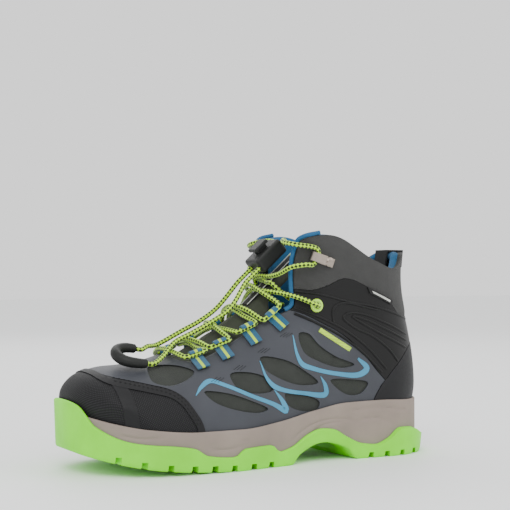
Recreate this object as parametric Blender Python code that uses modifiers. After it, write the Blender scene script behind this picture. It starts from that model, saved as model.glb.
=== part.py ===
"""Left mid-height hiking boot with an elastic quick lace, built as separate sub-parts.

Lengths are written in millimetres and turned into metres where a mesh is made.
+X points to the heel, -X to the toe, -Y to the outer side of the foot, +Z up.
"""
import math

import bmesh
import bpy
import numpy as np
from mathutils import Matrix, Vector

MM = 0.001
GAP = 0.35                      # clearance left between neighbouring solids
ORIGIN = (-0.845, 0.361)           # middle of the sole's outline, moved to the frame's origin

# ---------------------------------------------------------------- the last (foot form)
FRONT = [(-126, 29), (-130, 39), (-130, 50), (-123, 59), (-109, 64), (-92, 65.5), (-74, 68.5),
         (-56, 75), (-38, 85), (-19, 97.5), (-3, 110), (5.5, 122), (9, 137), (10, 160)]
BACK = [(124, 34), (126, 46), (125.5, 60), (123, 78), (119, 97), (115.5, 113), (114.5, 127),
        (116.5, 141), (118, 160)]
FLOOR = [(-126, 29), (-100, 25), (-60, 21), (-20, 21), (20, 26), (50, 31), (90, 33.5), (124, 34)]
# matching places along the instep line and along the floor-and-heel line, one pair per rib
RIBS = [(2, 2), (22, 13), (44, 28), (66, 48), (90, 74), (112, 104), (132, 134), (150, 168),
        (163, 200), (172, 228), (180, 248), (187, 264), (194, 285), (202, 312), (211, 344),
        (219.9, 378.8)]
RIB_COUNT = 26
SIDE_STEPS = 6
TOE_RIB = 2.0                   # up to this rib, points gather at its upper end only
HEEL_RIB = 8.0                  # from this rib on they gather at both ends, for a round heel


def pchip(points):
    """Smooth function through (x, y) points that never overshoots; flat beyond its ends."""
    xs, ys = np.array(points, float).T
    widths = np.diff(xs)
    slopes = np.diff(ys) / widths
    tangents = np.zeros(len(xs))
    tangents[0] = slopes[0]
    tangents[-1] = slopes[-1]
    for i in range(1, len(xs) - 1):
        if slopes[i - 1] * slopes[i] > 0:
            a = 2 * widths[i] + widths[i - 1]
            b = widths[i] + 2 * widths[i - 1]
            tangents[i] = (a + b) / (a / slopes[i - 1] + b / slopes[i])

    def value(x):
        x = np.clip(np.asarray(x, float), xs[0], xs[-1])
        i = np.clip(np.searchsorted(xs, x, side="right") - 1, 0, len(widths) - 1)
        t = (x - xs[i]) / widths[i]
        return (ys[i] * (1 + 2 * t) * (1 - t) ** 2 + widths[i] * tangents[i] * t * (1 - t) ** 2
                + ys[i + 1] * t * t * (3 - 2 * t) + widths[i] * tangents[i + 1] * t * t * (t - 1))

    return value


def smooth(points, steps=6, closed=False):
    """Centripetal Catmull-Rom curve through the points."""
    p = np.array(points, float)
    count = len(p)
    out = []
    for i in range(count if closed else count - 1):
        b = p[i]
        c = p[(i + 1) % count]
        a = p[(i - 1) % count] if closed or i else 2 * b - c
        d = p[(i + 2) % count] if closed or i + 2 < count else 2 * c - b
        t1 = np.linalg.norm(b - a) ** 0.5
        t2 = t1 + np.linalg.norm(c - b) ** 0.5
        t3 = t2 + np.linalg.norm(d - c) ** 0.5
        for t in np.linspace(t1, t2, steps, endpoint=False):
            a1 = a * (t1 - t) / t1 + b * t / t1
            a2 = b * (t2 - t) / (t2 - t1) + c * (t - t1) / (t2 - t1)
            a3 = c * (t3 - t) / (t3 - t2) + d * (t - t2) / (t3 - t2)
            b1 = a1 * (t2 - t) / t2 + a2 * t / t2
            b2 = a2 * (t3 - t) / (t3 - t1) + a3 * (t - t1) / (t3 - t1)
            out.append(b1 * (t2 - t) / (t2 - t1) + b2 * (t - t1) / (t2 - t1))
    if not closed:
        out.append(p[-1])
    return np.array(out)


class Line:
    """A smooth line measured by its arc length."""

    def __init__(self, points, steps=24):
        self.points = smooth(points, steps)
        lengths = np.linalg.norm(np.diff(self.points, axis=0), axis=1)
        self.arcs = np.concatenate([[0], np.cumsum(lengths)])
        self.length = self.arcs[-1]

    def at(self, arc):
        columns = range(self.points.shape[1])
        return np.stack([np.interp(arc, self.arcs, self.points[:, k]) for k in columns], -1)

    def nearest(self, places):
        """Distance to the line and arc position of the nearest point."""
        a = self.points[:-1]
        d = self.points[1:] - a
        t = np.clip(((places[:, None] - a) * d).sum(-1) / (d * d).sum(-1), 0, 1)
        gaps = np.linalg.norm(places[:, None] - a - t[..., None] * d, axis=-1)
        i = gaps.argmin(1)
        row = np.arange(len(places))
        return gaps[row, i], self.arcs[i] + t[row, i] * np.linalg.norm(d, axis=1)[i]

    def direction(self, arc):
        step = self.at(np.asarray(arc) + 0.5) - self.at(np.asarray(arc) - 0.5)
        return step / np.linalg.norm(step, axis=-1, keepdims=True)


front = Line(FRONT)
back = Line(BACK)
floor = Line(FLOOR)
floor_height = pchip(FLOOR)
outer_side = pchip([(-130, -38), (-100, -43), (-70, -46), (-40, -45.5), (-10, -41), (25, -35),
                    (60, -32.5), (95, -32.5), (130, -31)])
inner_side = pchip([(-130, 44), (-100, 47), (-70, 46.5), (-40, 43), (-10, 36), (20, 30.5),
                    (50, 29.5), (80, 31), (105, 32), (130, 31)])
ridge = pchip([(-130, 9), (-90, 8), (-50, 5), (-10, 1.5), (30, 0), (130, 0)])
shaft_half = pchip([(60, 31), (95, 30), (120, 30.5), (155, 33)])
front_round = pchip([(0, 46), (40, 44), (90, 42), (150, 45), (185, 36), (205, 30), (235, 28)])
front_power = pchip([(0, 2.4), (60, 2.3), (120, 1.95), (170, 1.95), (205, 2.5), (230, 2.7)])
BACK_ROUND = 36.0
BACK_POWER = 2.1
SHAFT_BLEND = (50, 105)         # heights between which the foot turns into the shaft


def bulge(share, power):
    share = np.clip(share, 0, 1)
    return (1 - (1 - share) ** power) ** (1 / power)


def half_widths(x, z):
    """Half widths to the outer and inner side, and the ridge line, at places in the side view."""
    places = np.stack([x, z], -1).reshape(-1, 2)
    from_front, arc = front.nearest(places)
    from_back, _ = back.nearest(places)
    middle = ridge(places[:, 0])
    share = np.clip((places[:, 1] - SHAFT_BLEND[0]) / (SHAFT_BLEND[1] - SHAFT_BLEND[0]), 0, 1)
    share = share * share * (3 - 2 * share)
    shaft = share * shaft_half(places[:, 1])
    outer = (1 - share) * (middle - outer_side(places[:, 0])) + shaft
    inner = (1 - share) * (inner_side(places[:, 0]) - middle) + shaft
    shrink = bulge(from_front / front_round(arc), front_power(arc))
    shrink = shrink * bulge(from_back / BACK_ROUND, BACK_POWER)
    shape = np.shape(x)
    return (outer * shrink).reshape(shape), (inner * shrink).reshape(shape), middle.reshape(shape)


def rear_place(arc):
    """Point on the floor line and then up the heel line."""
    return floor.at(arc) if arc <= floor.length else back.at(arc - floor.length)


def foot_grid():
    """Ribs of points over the foot form, their outward normals, and which ribs are closed."""
    numbers = np.arange(len(RIBS))
    front_arc = pchip(list(zip(numbers, [a for a, _ in RIBS])))
    rear_arc = pchip(list(zip(numbers, [b for _, b in RIBS])))
    even = np.linspace(0, 1, SIDE_STEPS + 1)
    front_spacing = np.sin(even * math.pi / 2)
    both_spacing = (1 - np.cos(even * math.pi)) / 2
    rows = []
    closed = []
    for t in np.linspace(0, len(RIBS) - 1, RIB_COUNT):
        start = rear_place(float(rear_arc(t)))
        end = front.at(float(front_arc(t)))
        heel = float(np.clip((t - TOE_RIB) / (HEEL_RIB - TOE_RIB), 0, 1))
        share = (1 - heel) * front_spacing + heel * both_spacing
        side = start + share[:, None] * (end - start)
        outer, inner, middle = half_widths(side[:, 0], side[:, 1])
        outer[-1] = inner[-1] = 0
        is_closed = rear_arc(t) >= floor.length
        if is_closed:
            outer[0] = inner[0] = 0
        low = np.stack([side[:, 0], middle - outer, side[:, 1]], -1)
        high = np.stack([side[:, 0], middle + inner, side[:, 1]], -1)
        rows.append(np.concatenate([low, high[-2::-1]]))
        closed.append(bool(is_closed))
    points = np.array(rows)
    across = np.gradient(points, axis=1)
    seam = (points[:, 1] - points[:, -2]) / 2
    across[:, 0][closed] = seam[closed]
    across[:, -1][closed] = seam[closed]
    along = np.gradient(points, axis=0)
    heel_run = (along[:, 0] + along[:, -1]) / 2
    along[:, 0][closed] = heel_run[closed]
    along[:, -1][closed] = heel_run[closed]
    normals = np.cross(along, across)
    normals /= np.linalg.norm(normals, axis=-1, keepdims=True)
    return points, normals, closed


grid_points, grid_normals, grid_closed = foot_grid()


def side_point(x, z, side):
    """Point of the foot form seen at (x, z) from the side; side is -1 outer, +1 inner."""
    outer, inner, middle = half_widths(np.array([x]), np.array([z]))
    width = inner if side > 0 else outer
    return np.array([x, float(middle[0]) + side * float(width[0]), z])


def side_normal(x, z, side):
    step = 0.5
    dx = side_point(x + step, z, side) - side_point(x - step, z, side)
    dz = side_point(x, z + step, side) - side_point(x, z - step, side)
    normal = np.cross(dz, dx) * side
    return normal / np.linalg.norm(normal)


def instep(arc, offset, height):
    """Point above the instep: arc along the ridge, offset across it, height off the form."""
    base = front.at(arc)
    along = front.direction(arc)
    inward = np.array([along[1], -along[0]])
    side = 1 if offset >= 0 else -1
    low = 0.0
    high = 40.0
    for _ in range(30):
        drop = (low + high) / 2
        place = base + inward * drop
        if abs(side_point(place[0], place[1], side)[1] - float(ridge(place[0]))) < abs(offset):
            low = drop
        else:
            high = drop
    point = np.array([place[0], float(ridge(place[0])) + offset, place[1]])
    if abs(offset) < 2:
        normal = np.array([-inward[0], 0, -inward[1]])
    else:
        normal = side_normal(place[0], place[1], side)
    return point + normal * height


# ---------------------------------------------------------------- object helpers
def material(name, colour, roughness, metallic=0.0):
    made = bpy.data.materials.get(name)
    if made is None:
        made = bpy.data.materials.new(name)
        made.use_nodes = True
        shader = made.node_tree.nodes["Principled BSDF"]
        shader.inputs["Base Color"].default_value = (*colour, 1)
        shader.inputs["Roughness"].default_value = roughness
        shader.inputs["Metallic"].default_value = metallic
        made.diffuse_color = (*colour, 1)
    return made


LIME = ("lime_rubber", (0.46, 0.83, 0.13), 0.55)
BLACK_RUBBER = ("black_rubber", (0.03, 0.03, 0.03), 0.7)
FOAM = ("taupe_foam", (0.30, 0.26, 0.22), 0.7)
SHANK = ("shank_plastic", (0.04, 0.04, 0.045), 0.5)
BOARD = ("board", (0.62, 0.60, 0.55), 0.9)
FOOTBED = ("footbed", (0.06, 0.16, 0.26), 0.9)
STIFFENER = ("stiffener", (0.7, 0.68, 0.62), 0.8)
MESH_CLOTH = ("mesh_cloth", (0.055, 0.058, 0.055), 0.9)
OVERLAY = ("overlay_film", (0.09, 0.10, 0.125), 0.55)
TOE_GUARD = ("toe_guard", (0.022, 0.022, 0.024), 0.6)
PANEL = ("black_panel", (0.012, 0.012, 0.012), 0.55)
SOFTSHELL = ("softshell", (0.075, 0.075, 0.073), 0.85)
PADDING = ("padding", (0.75, 0.73, 0.65), 0.95)
LINING = ("lining_mesh", (0.055, 0.14, 0.24), 0.9)
BINDING = ("blue_binding", (0.06, 0.17, 0.30), 0.8)
TONGUE_CLOTH = ("tongue_cloth", (0.068, 0.075, 0.055), 0.9)
RIBBON = ("black_ribbon", (0.02, 0.02, 0.02), 0.8)
WEBBING = ("blue_webbing", (0.03, 0.13, 0.24), 0.8)
EYELET = ("lime_plastic", (0.45, 0.80, 0.08), 0.4)
BRONZE = ("bronze_metal", (0.30, 0.25, 0.21), 0.35, 1.0)
CORD = ("elastic_cord", (0.45, 0.70, 0.05), 0.8)
LOCK = ("lock_plastic", (0.03, 0.03, 0.03), 0.5)
STEEL = ("spring_steel", (0.6, 0.6, 0.6), 0.3, 1.0)


def metres(points):
    """Millimetre points as vectors in metres, moved so that the sole stands on the origin."""
    shift = np.array([ORIGIN[0], ORIGIN[1], 0])
    return [Vector(p) for p in (np.asarray(points, float) - shift) * MM]


def add_object(name, mesh, look=None, collection=None):
    made = bpy.data.objects.new(name, mesh)
    (collection or parts).objects.link(made)
    if look:
        mesh.materials.append(material(*look))
    return made


def mesh_from(name, points, faces):
    mesh = bpy.data.meshes.new(name)
    mesh.from_pydata(metres(points), [], faces)
    bm = bmesh.new()
    bm.from_mesh(mesh)
    bmesh.ops.remove_doubles(bm, verts=bm.verts, dist=1e-7)
    bmesh.ops.dissolve_degenerate(bm, edges=bm.edges, dist=1e-7)
    bmesh.ops.recalc_face_normals(bm, faces=bm.faces)
    bm.to_mesh(mesh)
    bm.free()
    return mesh


def shade(thing, angle=40):
    thing.data.shade_smooth()
    thing.data.set_sharp_from_angle(angle=math.radians(angle))


def cut(thing, cutter, operation="DIFFERENCE", solver="EXACT"):
    boolean = thing.modifiers.new(f"{operation.lower()} {cutter.name}", "BOOLEAN")
    boolean.operation = operation
    boolean.object = cutter
    boolean.solver = solver


def trim(thing, cutter, operation="DIFFERENCE"):
    """Cut of a thin curved layer, where the exact solver loses whole sheets."""
    cut(thing, cutter, operation, "MANIFOLD")


def as_cutter(thing):
    thing.hide_render = True
    thing.display_type = "WIRE"
    return thing


def prism(name, outline, low=-70, high=70):
    """Cutter made of a side-view outline (x, z) pulled through the boot from side to side."""
    count = len(outline)
    points = [(x, low, z) for x, z in outline] + [(x, high, z) for x, z in outline]
    faces = [list(range(count)), list(range(2 * count - 1, count - 1, -1))]
    for i in range(count):
        j = (i + 1) % count
        faces.append([i, i + count, j + count, j])
    return as_cutter(add_object(name, mesh_from(name, points, faces), collection=cutters))


def round_prism(name, start, end, radius, sides=16):
    """Round cutter between two points."""
    start = np.asarray(start, float)
    end = np.asarray(end, float)
    bm = bmesh.new()
    depth = float(np.linalg.norm(end - start))
    bmesh.ops.create_cone(bm, cap_ends=True, segments=sides, radius1=radius * MM,
                          radius2=radius * MM, depth=depth * MM)
    mesh = bpy.data.meshes.new(name)
    bm.to_mesh(mesh)
    bm.free()
    made = as_cutter(add_object(name, mesh, collection=cutters))
    made.location = metres([(start + end) / 2])[0]
    made.rotation_euler = Vector(end - start).to_track_quat("Z", "Y").to_euler()
    return made


def tube(name, points, radius, look, resolution=2, collection=None):
    """Cord or rod through the points: a poly curve with a round bevel and closed ends."""
    curve = bpy.data.curves.new(name, "CURVE")
    curve.dimensions = "3D"
    spline = curve.splines.new("POLY")
    places = metres(points)
    spline.points.add(len(places) - 1)
    for point, place in zip(spline.points, places):
        point.co = (*place, 1)
    curve.bevel_depth = radius * MM
    curve.bevel_resolution = resolution
    curve.use_fill_caps = True
    return add_object(name, curve, look, collection)


# ---------------------------------------------------------------- the upper's layers
def layer(name, look, offset, thickness, side=None, depth=None):
    """Sheet of the foot form at an offset (outwards +), given a thickness outwards.

    side keeps one half of the form. depth is a further offset as a function of height."""
    middle = SIDE_STEPS
    columns = range(2 * SIDE_STEPS + 1)
    if side == -1:
        columns = range(0, middle + 1)
    if side == 1:
        columns = range(middle, 2 * SIDE_STEPS + 1)
    columns = list(columns)
    extra = depth(grid_points[..., 2]) if depth else 0 * grid_points[..., 2]
    points = grid_points + grid_normals * (offset + extra)[..., None]
    centre = ridge(points[..., 0])
    points[:, :middle, 1] = np.minimum(points[:, :middle, 1], centre[:, :middle])
    points[:, middle + 1:, 1] = np.maximum(points[:, middle + 1:, 1], centre[:, middle + 1:])
    points = points[:, columns]
    rows, width = points.shape[:2]
    faces = []
    for i in range(rows - 1):
        for j in range(width - 1):
            a = i * width + j
            if columns[j] < middle:
                faces.append([a, a + 1, a + width + 1])
                faces.append([a, a + width + 1, a + width])
            else:
                faces.append([a, a + 1, a + width])
                faces.append([a + 1, a + width + 1, a + width])
    mesh = mesh_from(name, points.reshape(-1, 3), faces)
    bm = bmesh.new()
    bm.from_mesh(mesh)
    bmesh.ops.remove_doubles(bm, verts=bm.verts, dist=2e-5)
    outward = sum((f.normal.dot(f.calc_center_median() - Vector((0, 0, 0.07)))) for f in bm.faces)
    if outward < 0:
        bmesh.ops.reverse_faces(bm, faces=bm.faces)
    bm.to_mesh(mesh)
    bm.free()
    made = add_object(name, mesh, look)
    solid = made.modifiers.new("thickness", "SOLIDIFY")
    solid.thickness = thickness * MM
    solid.offset = 1
    shade(made)
    return made


SHELL = (-1.6, 1.6)             # offset of a layer's inner face, and its thickness
STIFF = (-3.2, 1.2)
OUTER = (GAP, 1.25)
LINER = (-4.8, 1.2)
HEEL_STIFF = (-2.45, 0.45)
HEEL_OUTER = (0.65, 1.0)
COLLAR_PAD = (-6.9, 4.6)
collar_depth = pchip([(60, 0), (88, -3.8), (160, -3.8)])

# side-view lines
THROAT = [(-68, 74), (-60, 69.5), (-51, 69.5), (-34, 76.5), (-14, 87), (4, 97), (13, 100.5),
          (18, 104.5), (18.7, 115), (18.6, 128.5), (19.2, 138.6), (20.7, 146)]
COLLAR_TOP = [(21.5, 148), (25, 150), (35, 152.1), (44.5, 152), (52.6, 149.7), (63.4, 144),
              (74.4, 137.6), (84.8, 133.2), (95.2, 130.1), (102, 130.5), (107, 134.5), (111, 140),
              (116, 141.5), (130, 141.5)]
TOE_EDGE = [(-118, 74), (-114, 63), (-109, 60.5), (-99, 58.2), (-88, 55.7), (-77, 52.6),
            (-70, 47.7), (-64, 39), (-59.6, 31.4), (-57, 22), (-56, 10)]
ANKLE_LOW = [(8, 103), (20.5, 100.4), (36.3, 93.3), (52, 85.6), (67.6, 73.6), (80.3, 59.5),
             (87.2, 52.6)]
HEEL_TOP = [(87.2, 52.6), (92, 58), (99.9, 65), (106.2, 70.5), (114, 76), (135, 80)]
HEEL_FRONT = [(75, 10), (75.5, 28), (77.7, 38.9), (83.5, 48.3), (87.2, 52.6)]
COLLAR_LOW = [(8, 116), (21.1, 115.7), (29.4, 115), (40.3, 117.7), (53.8, 122.8), (63, 121.6),
              (73, 117.4), (85.4, 112), (95.6, 105), (103, 97.5), (110, 95.5), (135, 96)]


def outline_shift(outline, distance):
    """The outline moved to its left by a distance, without the loops of tight corners."""
    p = np.asarray(outline, float)
    step = np.gradient(p, axis=0)
    step /= np.linalg.norm(step, axis=1, keepdims=True)
    moved = p + np.stack([-step[:, 1], step[:, 0]], -1) * distance
    gaps = np.linalg.norm(moved[:, None] - p, axis=-1).min(1)
    return moved[gaps >= abs(distance) * 0.97]


LINING_THROAT = [(-94, 76), (-86, 66), (-76, 61), (-60, 60.9), (-47, 63), (-30, 70), (-10, 80.5),
                 (7, 90.5), (17, 95), (23.5, 101), (24.2, 115), (24, 128.5), (24.7, 137.6)]
LINING_DROP = 5.5
LINING_RISE = 1.0               # the lining ends this far above the board


def opening_cutter(name, throat, drop):
    """Everything in front of the throat and above the collar; drop lowers the collar's edge."""
    top = outline_shift(smooth(COLLAR_TOP, 3), -drop)
    top = top[top[:, 0] > throat[-1][0] + 0.5]
    edge = smooth(throat, 3).tolist() + top.tolist()
    start = [(edge[0][0] - 8, 190), (edge[0][0] - 8, edge[0][1] + 10)]
    return prism(name, start + edge + [(150, COLLAR_TOP[-1][1] - drop), (150, 190)])


def floor_cutter(name, rise):
    """Everything below the board that closes the upper; rise moves the cut up."""
    xs = np.linspace(-150, 150, 31)
    edge = [(x, float(floor_height(x)) + rise) for x in xs]
    return prism(name, edge + [(150, -20), (-150, -20)])


def build_upper():
    opening = opening_cutter("opening_cut", THROAT, 0.0)
    wide_opening = opening_cutter("wide_opening_cut", LINING_THROAT, LINING_DROP)
    below = floor_cutter("under_board_cut", -0.2)
    tucked = floor_cutter("under_feather_cut", 2.5)
    under_lining = floor_cutter("under_lining_cut", LINING_RISE)
    holes = []
    for side in (-1, 1):
        centre = side_point(*EYELET_PLACE, side)
        normal = side_normal(*EYELET_PLACE, side)
        label = side_name(side)
        holes.append(round_prism(f"eyelet_hole_{label}", centre - normal * 14,
                                 centre + normal * 6, EYELET_BARREL + GAP))

    shell = layer("upper_shell", MESH_CLOTH, *SHELL)
    trim(shell, below)
    trim(shell, opening)
    lining = layer("collar_lining", LINING, *LINER, depth=collar_depth)
    trim(lining, under_lining)
    trim(lining, wide_opening)
    for hole in rivet_holes:
        trim(shell, hole)
    for hole in holes:
        trim(shell, hole)
        trim(lining, hole)

    pad = layer("collar_foam", PADDING, *COLLAR_PAD)
    trim(pad, wide_opening)
    pad_zone = prism("collar_foam_zone", [(14, 92), (140, 92), (140, 190), (14, 190)])
    trim(pad, pad_zone, "INTERSECT")
    for hole in holes:
        trim(pad, hole)

    puff = layer("toe_puff", STIFFENER, *STIFF)
    trim(puff, tucked)
    trim(puff, prism("toe_puff_zone", [(-150, 10), (-88, 10), (-88, 90), (-150, 90)]), "INTERSECT")
    counter = layer("heel_counter", STIFFENER, *HEEL_STIFF)
    trim(counter, below)
    zone = [(62, 10), (145, 10), (145, 84), (110, 84), (80, 60)]
    trim(counter, prism("heel_counter_zone", zone), "INTERSECT")

    toe_cap = layer("toe_cap", TOE_GUARD, *OUTER)
    trim(toe_cap, tucked)
    edge = [tuple(p) for p in smooth(TOE_EDGE, 2)]
    trim(toe_cap, prism("toe_cap_zone", edge + [(-160, 10), (-160, 80)]), "INTERSECT")

    quarter = layer("quarter_overlay", OVERLAY, *OUTER)
    toe_side = [tuple(p) for p in outline_shift(smooth(TOE_EDGE, 2), GAP)]
    rear_side = [tuple(p) for p in outline_shift(smooth(HEEL_FRONT[:-1], 2), GAP)]
    ankle_side = [tuple(p) for p in outline_shift(smooth(ANKLE_LOW, 2), -GAP)][::-1]
    zone = toe_side + rear_side + ankle_side + [(8, 130), (-90, 130)]
    trim(quarter, prism("quarter_zone", zone), "INTERSECT")
    trim(quarter, opening)

    for side in (-1, 1):
        label = side_name(side)
        panel = layer(f"ankle_panel_{label}", PANEL, *OUTER, side=side)
        low_edge = smooth(ANKLE_LOW, 2).tolist() + smooth(HEEL_TOP, 2).tolist()[1:]
        top_edge = outline_shift(smooth(COLLAR_LOW, 2), -GAP).tolist()[::-1]
        zone = prism(f"ankle_zone_{label}", low_edge + top_edge)
        trim(panel, zone, "INTERSECT")
        trim(panel, opening)
        trim(panel, holes[(side + 1) // 2])
        trim(panel, seam_slot)

    collar = layer("collar", SOFTSHELL, *OUTER)
    low_edge = smooth(COLLAR_LOW, 2).tolist()
    trim(collar, prism("collar_zone", low_edge + [(135, 190), (0, 190)]), "INTERSECT")
    trim(collar, opening)
    for slot in rivet_holes:
        trim(collar, slot)

    heel = layer("heel_cap", TOE_GUARD, *HEEL_OUTER)
    front_edge = smooth(HEEL_FRONT, 2).tolist()
    top_edge = outline_shift(smooth(HEEL_TOP, 2), -GAP).tolist()[1:]
    trim(heel, prism("heel_cap_zone", front_edge + top_edge + [(140, 10)]), "INTERSECT")


def side_name(side):
    return "outer" if side < 0 else "inner"


# ---------------------------------------------------------------- soles
SOLE_TOP = pchip([(-128, 38), (-112, 33), (-95, 29.5), (-60, 26.5), (-30, 26.5), (0, 29.5),
                  (30, 35), (55, 38.5), (85, 39), (110, 38), (130, 38)])
SOLE_BOTTOM = pchip([(-136, 21), (-128, 14), (-115, 9.5), (-100, 6), (-80, 3), (-60, 1.3),
                     (-40, 0.3), (-30, 0), (8, 0), (14, 6), (34, 13), (54, 8), (62, 0),
                     (118, 0), (134, 6)])
LIME_TOP = pchip([(-136, 50), (-127, 44), (-120, 31), (-102, 21.5), (-76, 18.4), (-66, 16.5),
                  (-57, 11.5), (-38, 9.6), (-31, 14.2), (-10, 14.9), (-3, 10), (8, 12.5),
                  (20, 19), (32, 22.5), (42, 21.5), (54, 15.5), (66, 10.5), (77, 9.2), (87, 12.7),
                  (97, 19.5), (107, 19), (118, 14), (130, 12)])
SOLE_FLARE = pchip([(-130, 4.5), (-100, 4), (-40, 4), (30, 4.5), (100, 6), (130, 8)])
PLATE_THICK = 6.0
WALL = 1.2                      # thickness of the foam cup's lip and of the lime side wall
CUP_INNER = 1.6 + GAP + 0.2     # the foam cup's inner wall, measured out from the foot form
RING_STEPS = 56


def ring(level, out):
    """Closed plan outline at a height profile, moved outwards from the foot form."""
    angles = np.arange(RING_STEPS) * 2 * math.pi / RING_STEPS
    toe = front.points[:60]
    heel = back.points[:60]
    start = np.interp(float(SOLE_TOP(-126)), toe[:, 1], toe[:, 0])
    end = np.interp(float(SOLE_TOP(126)), heel[:, 1], heel[:, 0])
    x = (start + end) / 2 + (end - start) / 2 * np.cos(angles)
    outer, inner, middle = half_widths(x, SOLE_TOP(x))
    y = np.where(np.sin(angles) < 0, middle - outer, middle + inner)
    tips = np.abs(np.cos(angles)) > 0.9999
    y[tips] = middle[tips]
    plan = np.stack([x, y], -1)
    along = np.roll(plan, -1, 0) - np.roll(plan, 1, 0)
    normal = np.stack([along[:, 1], -along[:, 0]], -1)
    normal /= np.linalg.norm(normal, axis=1)[:, None]
    distance = out(x) if callable(out) else out
    plan = plan + normal * (np.zeros(len(x)) + distance)[:, None]
    height = level(x) if callable(level) else np.full(len(x), float(level))
    return np.concatenate([plan, height[:, None]], 1)


def loft_rings(name, rings, look=None, collection=None):
    """Solid through plan rings from its bottom face to its top or inner face."""
    points = np.concatenate(rings)
    count = RING_STEPS
    faces = []
    for k in range(len(rings) - 1):
        for i in range(count):
            j = (i + 1) % count
            faces.append([k * count + i, k * count + j, (k + 1) * count + j, (k + 1) * count + i])
    for base in (0, (len(rings) - 1) * count):
        faces.append([base, base + 1, base + count - 1])
        for i in range(1, count // 2 - 1):
            faces.append([base + i, base + i + 1, base + count - i - 1, base + count - i])
        i = count // 2 - 1
        faces.append([base + i, base + i + 1, base + i + 2])
    return add_object(name, mesh_from(name, points, faces), look, collection)


def plate_top(x):
    return np.minimum(SOLE_BOTTOM(x) + PLATE_THICK, LIME_TOP(x) - 1.0)


def board_level(x):
    return floor_height(x) - 2.2


def build_soles():
    cup_outer = CUP_INNER + WALL
    wall_inner = cup_outer + GAP

    def lime_out(x):
        return SOLE_FLARE(x) + 0.4 + wall_inner - 3.0

    outsole = loft_rings("outsole", [
        ring(SOLE_BOTTOM, lambda x: SOLE_FLARE(x) - 1.0),
        ring(lambda x: SOLE_BOTTOM(x) + 2.0, SOLE_FLARE),
        ring(lambda x: np.maximum(LIME_TOP(x) - 1.0, SOLE_BOTTOM(x) + 3.0), lime_out),
        ring(LIME_TOP, wall_inner + WALL),
        ring(LIME_TOP, wall_inner),
        ring(plate_top, wall_inner)], LIME)
    for index, (x, width) in enumerate(LUG_GROOVES):
        for side in (-1, 1):
            half = (outer_side if side < 0 else inner_side)(x)
            reach = abs(float(half)) + 12
            box = [(x - width / 2, -1), (x - width / 2, LUG_DEPTH + float(SOLE_BOTTOM(x))),
                   (x + width / 2, LUG_DEPTH + float(SOLE_BOTTOM(x))), (x + width / 2, -1)]
            low = side * (reach - LUG_LENGTH)
            high = side * (reach + 6)
            name = f"lug_groove_{index}_{side_name(side)}"
            trim(outsole, prism(name, box, min(low, high), max(low, high)))
    pocket = loft_rings("centre_pocket_cut", [
        centre_ring(-3.0, 0.0), centre_ring(CENTRE_DEPTH, 0.0)], collection=cutters)
    trim(outsole, as_cutter(pocket))
    window = prism("shank_window_cut", [(16, -5), (16, 30), (58, 30), (58, -5)], -18, 18)
    trim(outsole, window)
    shade(outsole, 30)

    centre = loft_rings("outsole_centre", [
        centre_ring(CENTRE_RECESS, GAP), centre_ring(CENTRE_DEPTH - GAP, GAP)], BLACK_RUBBER)
    shade(centre, 30)

    shank = prism_solid("shank", [(17, 10), (30, 14), (40, 14), (57, 9.5), (57, 7.5), (40, 12),
                                  (30, 12), (17, 8)], -15, 15, SHANK)
    shade(shank, 30)

    midsole = loft_rings("midsole", [
        ring(lambda x: plate_top(x) + GAP, cup_outer),
        ring(lambda x: SOLE_TOP(x) - 0.6, cup_outer),
        ring(SOLE_TOP, cup_outer - 0.4),
        ring(SOLE_TOP, CUP_INNER),
        ring(lambda x: board_level(x) - GAP, CUP_INNER)], FOAM)
    shade(midsole, 30)

    board = loft_rings("strobel_board", [
        ring(board_level, board_out), ring(lambda x: board_level(x) + 1.6, board_out)], BOARD)
    shade(board, 30)

    insole = loft_rings("insole", [
        ring(lambda x: floor_height(x) + 0.2, -FOOTBED_INSET - 1.5),
        ring(lambda x: floor_height(x) + 1.5, -FOOTBED_INSET),
        ring(lambda x: floor_height(x) + 4.0, -FOOTBED_INSET)], FOOTBED)
    shade(insole, 30)
    set_origin(insole, INSOLE_HINGE)


LUG_GROOVES = [(-112, 3), (-98, 3.5), (-82, 3.5), (-66, 4), (-52, 4), (-38, 3.5), (-23, 4),
               (-9, 3.5), (73, 3.5), (86, 3.5), (99, 3.5), (112, 3.5), (125, 3)]
LUG_DEPTH = 4.0
LUG_LENGTH = 26.0
CENTRE_DEPTH = 3.6
CENTRE_RECESS = 1.0
FOOTBED_INSET = 10.5
board_out = pchip([(-126, -10), (-100, -5.5)])
INSOLE_HINGE = (-117.0, 9.0, 29.5)


def centre_ring(depth, inset):
    """Plan outline of the black forefoot rubber, at a height above the tread."""
    angles = np.arange(RING_STEPS) * 2 * math.pi / RING_STEPS
    x = -52 + (44 - inset) * np.cos(angles)
    y = ridge(x) - 3 + (17 - inset) * np.sin(angles)
    return np.stack([x, y, SOLE_BOTTOM(x) + depth], -1)


def prism_solid(name, outline, low, high, look):
    made = prism(name, outline, low, high)
    cutters.objects.unlink(made)
    parts.objects.link(made)
    made.hide_render = False
    made.display_type = "TEXTURED"
    made.data.materials.append(material(*look))
    return made


def set_origin(thing, place):
    """Moves the object's origin to a place without moving its shape."""
    spot = metres([place])[0]
    thing.data.transform(Matrix.Translation(-spot))
    thing.location = spot


# ---------------------------------------------------------------- tongue
TONGUE_START = 89.0
TONGUE_BEND = 158.0             # from here the tongue runs straight, away from the instep line
TONGUE_END = 238.0
TONGUE_PITCH = math.radians(42)
TONGUE_DEPTH = 2.8
tongue_half = pchip([(89, 16), (95, 21), (150, 24), (165, 21), (176, 13), (238, 13)])


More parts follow.
